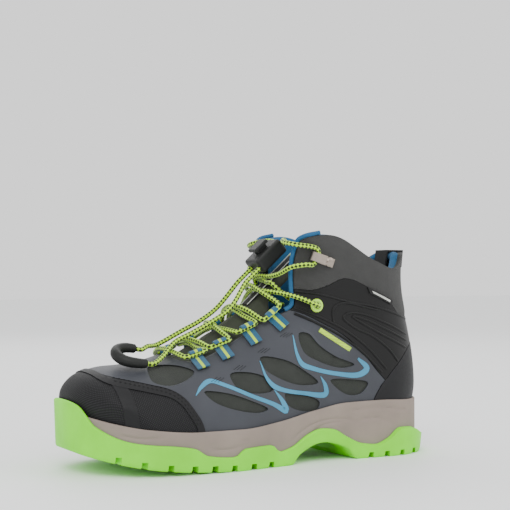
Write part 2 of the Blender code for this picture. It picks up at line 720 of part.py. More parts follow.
def tongue_place(arc, offset, height):
    """Point above the tongue's face: arc along it, offset across it."""
    beyond = max(0.0, arc - TONGUE_BEND)
    point = instep(min(arc, TONGUE_BEND), offset, height - TONGUE_DEPTH)
    return point + beyond * np.array([math.cos(TONGUE_PITCH), 0, math.sin(TONGUE_PITCH)])


def strip_on_tongue(name, look, arcs, half, steps, height, thickness):
    """Sheet that lies on the tongue's face, with a thickness outwards."""
    points = []
    for arc in arcs:
        for share in np.linspace(-1, 1, steps):
            points.append(tongue_place(arc, share * float(half(arc)), height))
    faces = []
    for i in range(len(arcs) - 1):
        for j in range(steps - 1):
            a = i * steps + j
            faces.append([a, a + steps, a + steps + 1, a + 1])
    made = add_object(name, mesh_from(name, points, faces), look)
    made.data.update()
    middle = made.data.polygons[len(made.data.polygons) // 2]
    solid = made.modifiers.new("thickness", "SOLIDIFY")
    solid.thickness = thickness * MM
    solid.offset = 1 if middle.normal.z > 0 else -1
    shade(made)
    return made


RIBBON_START = 162.0           # arc along the tongue where the ribbon begins
RIBBON_HALF = 5.5


def build_tongue():
    arcs = np.concatenate([np.linspace(TONGUE_START, TONGUE_BEND, 10),
                           np.linspace(TONGUE_BEND, TONGUE_END, 7)[1:]])
    strip_on_tongue("tongue", TONGUE_CLOTH, arcs, tongue_half, 7, -3.2, 3.2)
    strip_on_tongue("tongue_lining", LINING, arcs[1:], lambda a: tongue_half(a) - 3, 7, -5.2, 1.2)
    ribbon_arcs = np.linspace(RIBBON_START, TONGUE_END - 1, 9)
    strip_on_tongue("tongue_ribbon", RIBBON, ribbon_arcs, lambda a: RIBBON_HALF, 3, GAP + 0.05, 0.6)



# ---------------------------------------------------------------- lacing hardware
CORD_RADIUS = 1.6
LOOP_PLACES = [(-51, 69.5), (-34, 76.5), (-14, 87), (4, 97)]      # (x, z) on the throat edge
LOOP_HEIGHT = 5.2
LOOP_WIDTH = 8.6
LOOP_LENGTH = 12.0
LOOP_HOLE = 2.1
WEB = 1.0
EYELET_PLACE = (33.2, 104.5)
EYELET_BARREL = 3.1
EYELET_HOLE = 2.1
EYELET_FLANGE = 4.7
HOOK_PLACE = (34.2, 136.4)
HOOK_FORWARD = (-14.0, 4.2)
HOOK_LIFT = 2.35
HOOK_WIDTH = 6.0
HOOK_METAL = 0.9
HOOK_BEND = 4.6                 # bend's centre, forward of the hook's middle
HOOK_BASE = -11.0
HOOK_ARM = -3.0
RIVET_BACK = -7.5
RIVET_SHANK = 1.5
RIVET_HEAD = 3.2


def instep_address(point):
    """Arc and offset of a point on the foot form."""
    _, arc = front.nearest(np.array([[point[0], point[2]]]))
    return float(arc[0]), float(point[1] - ridge(point[0]))


def frame_matrix(origin, u, v):
    """Matrix of a local frame with axes u, v and u x v, for shapes drawn in millimetres."""
    u = Vector(u).normalized()
    v = (Vector(v) - Vector(v).dot(u) * u).normalized()
    w = u.cross(v)
    matrix = Matrix((u, v, w)).transposed().to_4x4()
    matrix.translation = metres([origin])[0]
    return matrix


def plate(name, outline, half, look, matrix, hole=None):
    """Outline in a local (u, v) plane pulled to both sides; hole is an inner outline."""
    curve = bpy.data.curves.new(name + "_outline", "CURVE")
    curve.dimensions = "2D"
    curve.fill_mode = "BOTH"
    curve.extrude = half * MM
    for loop in [outline] + ([hole] if hole else []):
        spline = curve.splines.new("POLY")
        spline.points.add(len(loop) - 1)
        spline.use_cyclic_u = True
        for point, (u, v) in zip(spline.points, loop):
            point.co = (u * MM, v * MM, 0, 1)
    source = bpy.data.objects.new(name + "_outline", curve)
    parts.objects.link(source)
    bpy.context.view_layer.update()
    evaluated = source.evaluated_get(bpy.context.evaluated_depsgraph_get())
    mesh = bpy.data.meshes.new_from_object(evaluated)
    mesh.name = name
    bpy.data.objects.remove(source)
    bm = bmesh.new()
    bm.from_mesh(mesh)
    bmesh.ops.remove_doubles(bm, verts=bm.verts, dist=1e-6)
    bmesh.ops.recalc_face_normals(bm, faces=bm.faces)
    bm.to_mesh(mesh)
    bm.free()
    made = add_object(name, mesh, look)
    made.matrix_world = matrix
    shade(made, 35)
    return made


def arc_points(centre, radius, start, end, count):
    angles = np.radians(np.linspace(start, end, count))
    return [(centre[0] + radius * math.cos(a), centre[1] + radius * math.sin(a)) for a in angles]


def turned(name, profile, look, matrix, closed, steps=14):
    """Profile of (radius, height) points turned about the local Z axis with a Screw modifier."""
    mesh = bpy.data.meshes.new(name)
    count = len(profile)
    edges = [(i, i + 1) for i in range(count - 1)]
    if closed:
        edges.append((count - 1, 0))
    mesh.from_pydata([(r * MM, 0, h * MM) for r, h in profile], edges, [])
    made = add_object(name, mesh, look)
    screw = made.modifiers.new("turn", "SCREW")
    screw.steps = steps
    screw.render_steps = steps
    screw.use_merge_vertices = True
    screw.merge_threshold = 1e-6
    made.matrix_world = matrix
    return made


def loop_frame(place, side):
    """Origin, outward slope, normal and run direction of a lace loop."""
    point = side_point(*place, side)
    arc, offset = instep_address(point)
    centre = instep(arc, offset, LOOP_HEIGHT)
    run = instep(arc + 2, offset, LOOP_HEIGHT) - instep(arc - 2, offset, LOOP_HEIGHT)
    normal = side_normal(*place, side)
    down = np.cross(run, normal) * side
    if down[2] > 0:
        down = -down
    return centre, down, normal, arc, offset


def build_lace_loops():
    shape = arc_points((0, 0), LOOP_HOLE + WEB, 60, 270, 9)
    tail = -(LOOP_HOLE + WEB)
    shape += [(LOOP_LENGTH, tail), (LOOP_LENGTH, tail + 2 * WEB)]
    for side in (-1, 1):
        for index, place in enumerate(LOOP_PLACES):
            centre, down, normal, _, _ = loop_frame(place, side)
            matrix = frame_matrix(centre, down, normal)
            plate(f"lace_loop_{side_name(side)}_{index + 1}", shape, LOOP_WIDTH / 2, WEBBING,
                  matrix, hole=arc_points((0, 0), LOOP_HOLE, 0, 324, 10))


def upright_matrix(origin, normal):
    """Matrix whose local Z axis is the normal."""
    matrix = Vector(normal).to_track_quat("Z", "Y").to_matrix().to_4x4()
    matrix.translation = metres([origin])[0]
    return matrix


def build_eyelets():
    top = OUTER[0] + OUTER[1] + GAP
    profile = [(EYELET_HOLE, top + 1.0), (EYELET_HOLE + 1.0, top + 1.5), (EYELET_FLANGE - 0.5, top + 1.1),
               (EYELET_FLANGE, top), (EYELET_BARREL, top), (EYELET_BARREL, -1.9), (EYELET_HOLE, -1.9)]
    for side in (-1, 1):
        centre = side_point(*EYELET_PLACE, side)
        matrix = upright_matrix(centre, side_normal(*EYELET_PLACE, side))
        turned(f"eyelet_{side_name(side)}", profile, EYELET, matrix, closed=True)


def hook_matrix(side):
    normal = side_normal(*HOOK_PLACE, side)
    origin = side_point(*HOOK_PLACE, side) + normal * HOOK_LIFT
    forward = Vector((HOOK_FORWARD[0], 0, HOOK_FORWARD[1]))
    return frame_matrix(origin, forward - forward.dot(Vector(normal)) * Vector(normal), normal)


def hook_point(side, u, v):
    """Millimetre place of a point in the hook's plane."""
    place = hook_matrix(side) @ Vector((u * MM, v * MM, 0))
    return np.array(place) / MM + np.array([ORIGIN[0], ORIGIN[1], 0])


def build_hooks():
    middle = (HOOK_BEND, HOOK_METAL + 2.1)
    shape = [(HOOK_BASE, 0)] + arc_points(middle, 3.0, -90, 90, 9)
    shape += [(HOOK_ARM, 6.0), (HOOK_ARM, 5.1)] + arc_points(middle, 2.1, 90, -90, 9)
    shape += [(HOOK_BASE, HOOK_METAL)]
    rivet = [(0, HOOK_METAL + GAP + 1.5), (1.8, HOOK_METAL + GAP + 1.2),
             (RIVET_HEAD, HOOK_METAL + GAP + 0.4), (RIVET_HEAD, HOOK_METAL + GAP),
             (RIVET_SHANK, HOOK_METAL + GAP), (RIVET_SHANK, -HOOK_LIFT - 1.9), (0, -HOOK_LIFT - 1.9)]
    for side, hole in zip((-1, 1), rivet_holes):
        matrix = hook_matrix(side)
        hook = plate(f"hook_{side_name(side)}", shape, HOOK_WIDTH / 2, BRONZE, matrix)
        cut(hook, hole)
        normal = side_normal(*HOOK_PLACE, side)
        turned(f"hook_rivet_{side_name(side)}", rivet, BRONZE,
               upright_matrix(hook_point(side, RIVET_BACK, 0), normal), closed=False)


# ---------------------------------------------------------------- cord lock and grip
LOCK_CENTRE = (11.1, 0.0, 138.4)
LOCK_PITCH = TONGUE_PITCH
LOCK_SIZE = (24.0, 19.0, 11.0)
LOCK_STRAND = 6.0               # strands' distance from the lock's middle
LOCK_STRAND_DROP = -1.0
LOCK_TRAVEL = 10.0
POCKET = (8.6, 6.4)
POCKET_FLOOR = -3.0
BUTTON_CAP = (12.0, 11.0, 2.6)
BUTTON_TRAVEL = 2.0
STEM_END = 1.9


def lock_place(along, across, up):
    """Millimetre place in the lock's own frame: along it (heel side up), across, off its face."""
    c = math.cos(LOCK_PITCH)
    s = math.sin(LOCK_PITCH)
    return np.array(LOCK_CENTRE) + np.array([c * along - s * up, across, s * along + c * up])


def lock_box(name, size, up, look=None, collection=None, bevel=0.0, along=0.0):
    bm = bmesh.new()
    bmesh.ops.create_cube(bm, size=1)
    bmesh.ops.scale(bm, vec=Vector(size) * MM, verts=bm.verts)
    mesh = bpy.data.meshes.new(name)
    bm.to_mesh(mesh)
    bm.free()
    made = add_object(name, mesh, look, collection)
    made.location = metres([lock_place(along, 0, up)])[0]
    made.rotation_euler = (0, -LOCK_PITCH, 0)
    if bevel:
        rounding = made.modifiers.new("rounding", "BEVEL")
        rounding.width = bevel * MM
        rounding.segments = 3
    return made


def build_cord_lock():
    body = lock_box("cord_lock_body", LOCK_SIZE, 0, LOCK, bevel=2.0)
    for side in (-1, 1):
        start = lock_place(-20, side * LOCK_STRAND, LOCK_STRAND_DROP)
        end = lock_place(20, side * LOCK_STRAND, LOCK_STRAND_DROP)
        cut(body, round_prism(f"strand_hole_{side_name(side)}", start, end, CORD_RADIUS + GAP + 0.1))
    depth = 10.0
    pocket = lock_box("button_pocket_cut", (*POCKET, depth), POCKET_FLOOR + depth / 2,
                      collection=cutters)
    cut(body, as_cutter(pocket))
    shade(body, 35)

    cap_low = LOCK_SIZE[2] / 2 + BUTTON_TRAVEL + GAP
    cap_middle = cap_low + BUTTON_CAP[2] / 2
    button = lock_box("cord_lock_button", BUTTON_CAP, cap_middle, LOCK, bevel=0.8)
    stem_height = cap_middle - STEM_END
    stem = lock_box("button_stem_union", (POCKET[0] - 2 * GAP, POCKET[1] - 2 * GAP, stem_height),
                    STEM_END + stem_height / 2, collection=cutters)
    cut(button, as_cutter(stem), "UNION")
    shade(button, 35)

    turns = 3.0
    steps = int(turns * 12)
    low = POCKET_FLOOR + GAP + 0.3
    high = STEM_END - GAP - 0.3
    coil = []
    for i in range(steps + 1):
        angle = 2 * math.pi * turns * i / steps
        coil.append(lock_place(2.0 * math.cos(angle), 2.0 * math.sin(angle),
                               low + (high - low) * i / steps))
    tube("cord_lock_spring", coil, 0.25, STEEL, resolution=1)


GRIP_ROUTE = [(-84, 4, 76.7), (-91, 4, 77.6), (-98, 1, 76.6), (-101, -5, 73.8), (-98, -11, 70.5),
              (-91, -14.5, 68.8), (-84, -15.5, 68.2)]
GRIP_RADIUS = 3.4
GRIP_STEPS = 2


def build_grip():
    tube("lace_grip", smooth(GRIP_ROUTE, GRIP_STEPS), GRIP_RADIUS, LOCK, resolution=2)


# ---------------------------------------------------------------- the lace
# tails from the grip to the lock: (arc, offset, height) above the tongue's face
TAIL_INNER = [(86, 0, 12), (100, 3, 12), (116, 6, 10.5), (133, 7, 9.5), (148, 7.5, 10)]
TAIL_OUTER = [(87, -17, 8), (101, -10, 11.3), (116, -8, 10.5), (133, -7.5, 9.5), (148, -7.5, 10)]
# from the lock's upper end round the hook and across to the other side's eyelet: (x, y, z),
# with y to the outside on the hook's side; the last four are on the other side of the boot
HOOK_LEAD = [(20.5, 9.5, 149.0), (15.0, 17.0, 148.5), (12.5, 25.0, 147.0), (16.0, 32.5, 145.5)]
HOOK_LEAVE = [(22.0, 36.0, 132.0), (14.5, 30.5, 130.5), (11.5, 18.0, 125.9)]
MIDDLE_ARC = 184.0              # where this lead crosses its twin, under the lock
MIDDLE_HEIGHT = 2.95
MIDDLE_SLANT = 0.2
EYELET_LEAD = [(9.0, -11.0, 120.0), (11.8, -15.0, 116.0), (20.5, -15.8, 109.5), (28.0, -15.0, 105.6)]
# from the eyelet's outside over the flap's edge and across the tongue
EYELET_LEAVE = [(28.0, -36.5, 106.0), (20.0, -33.0, 109.5), (12.5, -24.5, 112.5)]
CROSS_LOW = 2.2                 # height of the lower and the upper strand where they cross
CROSS_HIGH = 5.8
LOOP_HALF_RUN = 5.1


def lock_run(side):
    """Straight stretch through the lock, from below it to above it."""
    end = LOCK_SIZE[0] / 2
    stops = [-end - LOCK_TRAVEL - 4, -end - LOCK_TRAVEL - 1, -end, 0, end + 1, end + 3]
    return [lock_place(stop, side * LOCK_STRAND, LOCK_STRAND_DROP) for stop in stops]


def tail(side):
    route = TAIL_INNER if side > 0 else TAIL_OUTER
    return [tongue_place(*place) for place in route] + lock_run(side)


def flip(places, side):
    return [np.array([x, side * y, z]) for x, y, z in places]


def hook_to_eyelet(side, lift):
    """From the lock's upper end, round this side's hook, to the other side's eyelet."""
    normal = side_normal(*HOOK_PLACE, side)
    bend = hook_point(side, HOOK_BEND - 0.4, HOOK_METAL + 2.1)
    run = np.cross(normal, [HOOK_FORWARD[0], 0, HOOK_FORWARD[1]])
    run /= np.linalg.norm(run)
    if run[2] < 0:
        run = -run
    over = bend + run * 5.0
    under = bend - run * 5.0
    middle = [tongue_place(MIDDLE_ARC + MIDDLE_SLANT * across, side * across, MIDDLE_HEIGHT + lift)
              for across in (7, 0, -7)]
    eyelet = side_point(*EYELET_PLACE, -side)
    out = side_normal(*EYELET_PLACE, -side)
    through = [eyelet + out * reach for reach in (-12, -8, 3, 5.5)]
    return (flip(HOOK_LEAD, side) + [over, under] + flip(HOOK_LEAVE, side) + middle
            + flip(EYELET_LEAD, side) + through)


def loop_pass(place, side):
    """Places where the lace runs through a loop, from its upper to its lower end."""
    _, _, _, arc, offset = loop_frame(place, side)
    steps = (LOOP_HALF_RUN + 1.5, LOOP_HALF_RUN - 0.5, 0.5 - LOOP_HALF_RUN, -LOOP_HALF_RUN - 1.5)
    return [instep(arc + step, offset, LOOP_HEIGHT) for step in steps]


def crossing(upper, upper_side, lower, height):
    """Places between a loop's lower end and the next lower loop on the other side."""
    _, _, _, arc_a, offset_a = loop_frame(upper, upper_side)
    _, _, _, arc_b, offset_b = loop_frame(lower, -upper_side)
    start = arc_a - LOOP_HALF_RUN - 1.5
    end = arc_b + LOOP_HALF_RUN + 1.5
    places = []
    for share in (0.22, 0.5, 0.78):
        arc = start + (end - start) * share
        offset = offset_a + (offset_b - offset_a) * share
        rise = height if share == 0.5 else height + 0.8
        places.append(tongue_place(arc, offset, rise))
    return places


def eyelet_to_bottom(side, height):
    """From this side's eyelet, over to the other side's top loop, and down to the lowest."""
    _, _, _, arc, _ = loop_frame(LOOP_PLACES[3], -side)
    places = flip(EYELET_LEAVE, -side)
    places += [tongue_place(arc + 12, side * 10, height + 1.7), tongue_place(arc + 10.5, 0, height + 1.4),
               tongue_place(arc + 9, -side * 12, height + 1.2)]
    at = -side
    for index in (3, 2, 1, 0):
        places += loop_pass(LOOP_PLACES[index], at)
        if index:
            places += crossing(LOOP_PLACES[index], at, LOOP_PLACES[index - 1], height)
            at = -at
    return places


def lace_route():
    bar = [tongue_place(96.5, -13, 7.2), tongue_place(96, 0, 7.0), tongue_place(96.5, 11, 7.2)]
    first = tail(1) + hook_to_eyelet(1, 0.0) + eyelet_to_bottom(-1, CROSS_LOW)
    second = tail(-1) + hook_to_eyelet(-1, 3.6) + eyelet_to_bottom(1, CROSS_HIGH)
    return first + bar + second[::-1]


def build_lace():
    points = cord_points(grip_ends(0) + lace_route() + grip_ends(-1)[::-1], LACE_STEP)
    tube("lace", points, CORD_RADIUS, CORD, resolution=2)


LACE_STEP = 10.0


def grip_ends(which):
    """Places just outside the grip's end face where the lace leaves it straight."""
    points = smooth(GRIP_ROUTE, GRIP_STEPS)
    outward = points[0] - points[1] if which == 0 else points[-1] - points[-2]
    outward /= np.linalg.norm(outward)
    return [points[which] + outward * reach for reach in (GAP, 4.0)]


def cord_points(route, step):
    """Every place of the route, with places of its smooth curve between those far apart."""
    fine = 12
    dense = smooth(route, fine)
    points = []
    for i in range(len(route) - 1):
        length = np.linalg.norm(np.asarray(route[i + 1]) - np.asarray(route[i]))
        count = min((n for n in (1, 2, 3, 4, 6) if length / n <= step * 1.15), default=6)
        points += [dense[i * fine + k * fine // count] for k in range(count)]
    return points + [dense[-1]]


# ---------------------------------------------------------------- trims
HEEL_TAB = [(118.4, 131), (119.8, 142.2), (107.6, 142.2), (106.0, 131), (104.8, 131),
            (106.4, 143.4), (121.0, 143.4), (119.7, 131)]


def build_trims():
    tab = prism_solid("heel_pull_tab", HEEL_TAB, -7, 7, RIBBON)
    shade(tab, 35)

    stay = layer("back_stay", PANEL, 2.5, 1.1)
    zone = prism("back_stay_zone", [(90, 84), (140, 84), (140, 119), (90, 119)], -6.5, 6.5)
    trim(stay, zone, "INTERSECT")

    tag = layer("side_tag", RIBBON, 1.6 + GAP, 0.7, side=-1)
    zone = prism("side_tag_zone", [(73.5, 117), (75.5, 112.5), (94.5, 104.7), (96.3, 107.3)], -70, 0)
    trim(tag, zone, "INTERSECT")

    edge = THROAT[6:] + COLLAR_TOP[:3]
    for side in (-1, 1):
        places = []
        for x, z in outline_shift(edge, BINDING_RADIUS + GAP):
            inside = side_point(max(x, 13.0) + 2.0, z, side)
            places.append(np.array([x, inside[1], z]))
        path = Line(places)
        points = path.at(np.linspace(0, path.length, 16))
        tube(f"flap_binding_{side_name(side)}", points, BINDING_RADIUS, BINDING)


BINDING_RADIUS = 1.3


# ---------------------------------------------------------------- build
for old in list(bpy.data.objects):
    bpy.data.objects.remove(old)
parts = bpy.data.collections.new("hiking_boot")
cutters = bpy.data.collections.new("cutters")
bpy.context.scene.collection.children.link(parts)
bpy.context.scene.collection.children.link(cutters)

rivet_holes = []
for hook_side in (-1, 1):
    hook_normal = side_normal(*HOOK_PLACE, hook_side)
    rivet_spot = hook_point(hook_side, RIVET_BACK, 0)
    rivet_holes.append(round_prism(f"rivet_hole_{side_name(hook_side)}", rivet_spot - hook_normal * 8,
                                   rivet_spot + hook_normal * 3, RIVET_SHANK + GAP))
seam_slot = prism("heel_seam_cut", [(60, 60), (160, 60), (160, 150), (60, 150)], -0.2, 0.2)

build_soles()
build_upper()
build_tongue()
build_lace_loops()
build_eyelets()
build_hooks()
build_cord_lock()
build_grip()
build_lace()
build_trims()
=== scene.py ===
import math

import bmesh
import bpy
import numpy as np
from mathutils import Matrix, Vector


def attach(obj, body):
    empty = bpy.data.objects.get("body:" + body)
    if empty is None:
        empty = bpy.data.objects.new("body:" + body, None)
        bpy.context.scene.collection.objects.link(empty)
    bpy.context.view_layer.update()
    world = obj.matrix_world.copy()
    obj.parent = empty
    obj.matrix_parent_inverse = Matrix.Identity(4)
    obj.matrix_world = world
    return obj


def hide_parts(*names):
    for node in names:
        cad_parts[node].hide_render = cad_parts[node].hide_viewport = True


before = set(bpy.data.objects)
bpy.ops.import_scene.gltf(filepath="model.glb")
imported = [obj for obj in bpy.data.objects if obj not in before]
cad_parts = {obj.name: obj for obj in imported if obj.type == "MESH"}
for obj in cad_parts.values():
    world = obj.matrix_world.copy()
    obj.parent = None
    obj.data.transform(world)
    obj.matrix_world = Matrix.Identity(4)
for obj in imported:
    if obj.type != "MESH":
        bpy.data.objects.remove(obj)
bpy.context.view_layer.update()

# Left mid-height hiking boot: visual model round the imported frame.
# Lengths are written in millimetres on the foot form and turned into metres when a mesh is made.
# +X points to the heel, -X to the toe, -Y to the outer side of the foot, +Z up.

MM = 0.001
GAP = 0.35                      # clearance between neighbouring layers
ORIGIN = (-0.845, 0.361)        # the foot form's place in the frame
SIDES = {-1: "outer", 1: "inner"}

# ---------------------------------------------------------------- the last (foot form)
FRONT = [(-126, 29), (-130, 39), (-130, 50), (-123, 59), (-109, 64), (-92, 65.5), (-74, 68.5),
         (-56, 75), (-38, 85), (-19, 97.5), (-3, 110), (5.5, 122), (9, 137), (10, 160)]
BACK = [(124, 34), (126, 46), (125.5, 60), (123, 78), (119, 97), (115.5, 113), (114.5, 127),
        (116.5, 141), (118, 160)]
FLOOR = [(-126, 29), (-100, 25), (-60, 21), (-20, 21), (20, 26), (50, 31), (90, 33.5), (124, 34)]
RIBS = [(2, 2), (22, 13), (44, 28), (66, 48), (90, 74), (112, 104), (132, 134), (150, 168),
        (163, 200), (172, 228), (180, 248), (187, 264), (194, 285), (202, 312), (211, 344),
        (219.9, 378.8)]
RIB_COUNT = 150
SIDE_STEPS = 34
TOE_RIB = 2.0                   # up to this rib, points gather at its upper end only
HEEL_RIB = 8.0                  # from this rib on they gather at both ends, for a round heel


def pchip(points):
    """Smooth function through (x, y) points that never overshoots; flat beyond its ends."""
    xs, ys = np.array(points, float).T
    widths = np.diff(xs)
    slopes = np.diff(ys) / widths
    tangents = np.zeros(len(xs))
    tangents[0] = slopes[0]
    tangents[-1] = slopes[-1]
    for i in range(1, len(xs) - 1):
        if slopes[i - 1] * slopes[i] > 0:
            a = 2 * widths[i] + widths[i - 1]
            b = widths[i] + 2 * widths[i - 1]
            tangents[i] = (a + b) / (a / slopes[i - 1] + b / slopes[i])

    def value(x):
        x = np.clip(np.asarray(x, float), xs[0], xs[-1])
        i = np.clip(np.searchsorted(xs, x, side="right") - 1, 0, len(widths) - 1)
        t = (x - xs[i]) / widths[i]
        return (ys[i] * (1 + 2 * t) * (1 - t) ** 2 + widths[i] * tangents[i] * t * (1 - t) ** 2
                + ys[i + 1] * t * t * (3 - 2 * t) + widths[i] * tangents[i + 1] * t * t * (t - 1))

    return value


def smooth(points, steps=6, closed=False):
    """Centripetal Catmull-Rom curve through the points."""
    p = np.array(points, float)
    count = len(p)
    out = []
    for i in range(count if closed else count - 1):
        b = p[i]
        c = p[(i + 1) % count]
        a = p[(i - 1) % count] if closed or i else 2 * b - c
        d = p[(i + 2) % count] if closed or i + 2 < count else 2 * c - b
        t1 = np.linalg.norm(b - a) ** 0.5
        t2 = t1 + np.linalg.norm(c - b) ** 0.5
        t3 = t2 + np.linalg.norm(d - c) ** 0.5
        for t in np.linspace(t1, t2, steps, endpoint=False):
            a1 = a * (t1 - t) / t1 + b * t / t1
            a2 = b * (t2 - t) / (t2 - t1) + c * (t - t1) / (t2 - t1)
            a3 = c * (t3 - t) / (t3 - t2) + d * (t - t2) / (t3 - t2)
            b1 = a1 * (t2 - t) / t2 + a2 * t / t2
            b2 = a2 * (t3 - t) / (t3 - t1) + a3 * (t - t1) / (t3 - t1)
            out.append(b1 * (t2 - t) / (t2 - t1) + b2 * (t - t1) / (t2 - t1))
    if not closed:
        out.append(p[-1])
    return np.array(out)


class Line:
    """A smooth line measured by its arc length."""

    def __init__(self, points, steps=24):
        self.points = smooth(points, steps)
        lengths = np.linalg.norm(np.diff(self.points, axis=0), axis=1)
        self.arcs = np.concatenate([[0], np.cumsum(lengths)])
        self.length = self.arcs[-1]

    def at(self, arc):
        columns = range(self.points.shape[1])
        return np.stack([np.interp(arc, self.arcs, self.points[:, k]) for k in columns], -1)

    def nearest(self, places):
        """Distance to the line and arc position of the nearest point."""
        a = self.points[:-1]
        d = self.points[1:] - a
        square = np.maximum((d * d).sum(-1), 1e-12)
        t = np.clip(((places[:, None] - a) * d).sum(-1) / square, 0, 1)
        gaps = np.linalg.norm(places[:, None] - a - t[..., None] * d, axis=-1)
        i = gaps.argmin(1)
        row = np.arange(len(places))
        return gaps[row, i], self.arcs[i] + t[row, i] * np.linalg.norm(d, axis=1)[i]

    def direction(self, arc):
        step = self.at(np.asarray(arc) + 0.5) - self.at(np.asarray(arc) - 0.5)
        return step / np.linalg.norm(step, axis=-1, keepdims=True)


front = Line(FRONT)
back = Line(BACK)
floor = Line(FLOOR)
floor_height = pchip(FLOOR)
outer_side = pchip([(-130, -38), (-100, -43), (-70, -46), (-40, -45.5), (-10, -41), (25, -35),
                    (60, -32.5), (95, -32.5), (130, -31)])
inner_side = pchip([(-130, 44), (-100, 47), (-70, 46.5), (-40, 43), (-10, 36), (20, 30.5),
                    (50, 29.5), (80, 31), (105, 32), (130, 31)])
ridge = pchip([(-130, 9), (-90, 8), (-50, 5), (-10, 1.5), (30, 0), (130, 0)])
shaft_half = pchip([(60, 31), (95, 30), (120, 30.5), (155, 33)])
front_round = pchip([(0, 46), (40, 44), (90, 42), (150, 45), (185, 36), (205, 30), (235, 28)])
front_power = pchip([(0, 2.4), (60, 2.3), (120, 1.95), (170, 1.95), (205, 2.5), (230, 2.7)])
BACK_ROUND = 36.0
BACK_POWER = 2.1
SHAFT_BLEND = (50, 105)         # heights between which the foot turns into the shaft
NORMAL_STEP = 0.5
SEARCH_DEPTH = 40.0             # how far below the ridge a place on the instep can lie
SEARCH_HALVINGS = 30
RIDGE_HALF = 2.0                # closer to the ridge than this, the normal is the ridge's own


def bulge(share, power):
    share = np.clip(share, 0, 1)
    return (1 - (1 - share) ** power) ** (1 / power)


def half_widths(x, z):
    """Half widths to the outer and inner side, and the ridge line, at places in the side view."""
    places = np.stack([x, z], -1).reshape(-1, 2)
    from_front, arc = front.nearest(places)
    from_back, _ = back.nearest(places)
    middle = ridge(places[:, 0])
    share = np.clip((places[:, 1] - SHAFT_BLEND[0]) / (SHAFT_BLEND[1] - SHAFT_BLEND[0]), 0, 1)
    share = share * share * (3 - 2 * share)
    shaft = share * shaft_half(places[:, 1])
    outer = (1 - share) * (middle - outer_side(places[:, 0])) + shaft
    inner = (1 - share) * (inner_side(places[:, 0]) - middle) + shaft
    shrink = bulge(from_front / front_round(arc), front_power(arc))
    shrink = shrink * bulge(from_back / BACK_ROUND, BACK_POWER)
    shape = np.shape(x)
    return (outer * shrink).reshape(shape), (inner * shrink).reshape(shape), middle.reshape(shape)


def rear_place(arc):
    """Point on the floor line and then up the heel line."""
    return floor.at(arc) if arc <= floor.length else back.at(arc - floor.length)


def foot_grid():
    """Ribs of points over the foot form, their outward normals and millimetre cloth coordinates."""
    numbers = np.arange(len(RIBS))
    front_arc = pchip(list(zip(numbers, [a for a, _ in RIBS])))
    rear_arc = pchip(list(zip(numbers, [b for _, b in RIBS])))
    even = np.linspace(0, 1, SIDE_STEPS + 1)
    front_spacing = np.sin(even * math.pi / 2)
    both_spacing = (1 - np.cos(even * math.pi)) / 2
    rows = []
    closed = []
    for t in np.linspace(0, len(RIBS) - 1, RIB_COUNT):
        start = rear_place(float(rear_arc(t)))
        end = front.at(float(front_arc(t)))
        heel = float(np.clip((t - TOE_RIB) / (HEEL_RIB - TOE_RIB), 0, 1))
        share = (1 - heel) * front_spacing + heel * both_spacing
        side = start + share[:, None] * (end - start)
        outer, inner, middle = half_widths(side[:, 0], side[:, 1])
        outer[-1] = inner[-1] = 0
        is_closed = rear_arc(t) >= floor.length
        if is_closed:
            outer[0] = inner[0] = 0
        low = np.stack([side[:, 0], middle - outer, side[:, 1]], -1)
        high = np.stack([side[:, 0], middle + inner, side[:, 1]], -1)
        rows.append(np.concatenate([low, high[-2::-1]]))
        closed.append(bool(is_closed))
    points = np.array(rows)
    across = np.gradient(points, axis=1)
    seam = (points[:, 1] - points[:, -2]) / 2
    across[:, 0][closed] = seam[closed]
    across[:, -1][closed] = seam[closed]
    along = np.gradient(points, axis=0)
    heel_run = (along[:, 0] + along[:, -1]) / 2
    along[:, 0][closed] = heel_run[closed]
    along[:, -1][closed] = heel_run[closed]
    normals = np.cross(along, across)
    normals /= np.maximum(np.linalg.norm(normals, axis=-1, keepdims=True), 1e-9)
    steps_v = np.linalg.norm(np.diff(points, axis=1), axis=-1)
    v = np.concatenate([np.zeros((len(points), 1)), np.cumsum(steps_v, 1)], 1)
    v -= v[:, SIDE_STEPS:SIDE_STEPS + 1]
    steps_u = np.linalg.norm(np.diff(points[:, SIDE_STEPS // 2], axis=0), axis=-1)
    u = np.concatenate([[0], np.cumsum(steps_u)])[:, None] + np.zeros(points.shape[:2])
    return points, normals, np.stack([u, v], -1)


grid_points, grid_normals, grid_cloth = foot_grid()


def surface(x, z, side):
    """Points of the foot form seen at (x, z) from the side; side is -1 outer, +1 inner."""
    outer, inner, middle = half_widths(x, z)
    return np.stack([x, middle + side * np.where(side > 0, inner, outer), z], -1)


def surface_normals(x, z, side):
    run = surface(x + NORMAL_STEP, z, side) - surface(x - NORMAL_STEP, z, side)
    rise = surface(x, z + NORMAL_STEP, side) - surface(x, z - NORMAL_STEP, side)
    normals = np.cross(rise, run) * side[:, None]
    return normals / np.linalg.norm(normals, axis=1, keepdims=True)


def side_point(x, z, side):
    return surface(np.array([x]), np.array([z]), np.array([side]))[0]


def side_normal(x, z, side):
    return surface_normals(np.array([x]), np.array([z]), np.array([side]))[0]


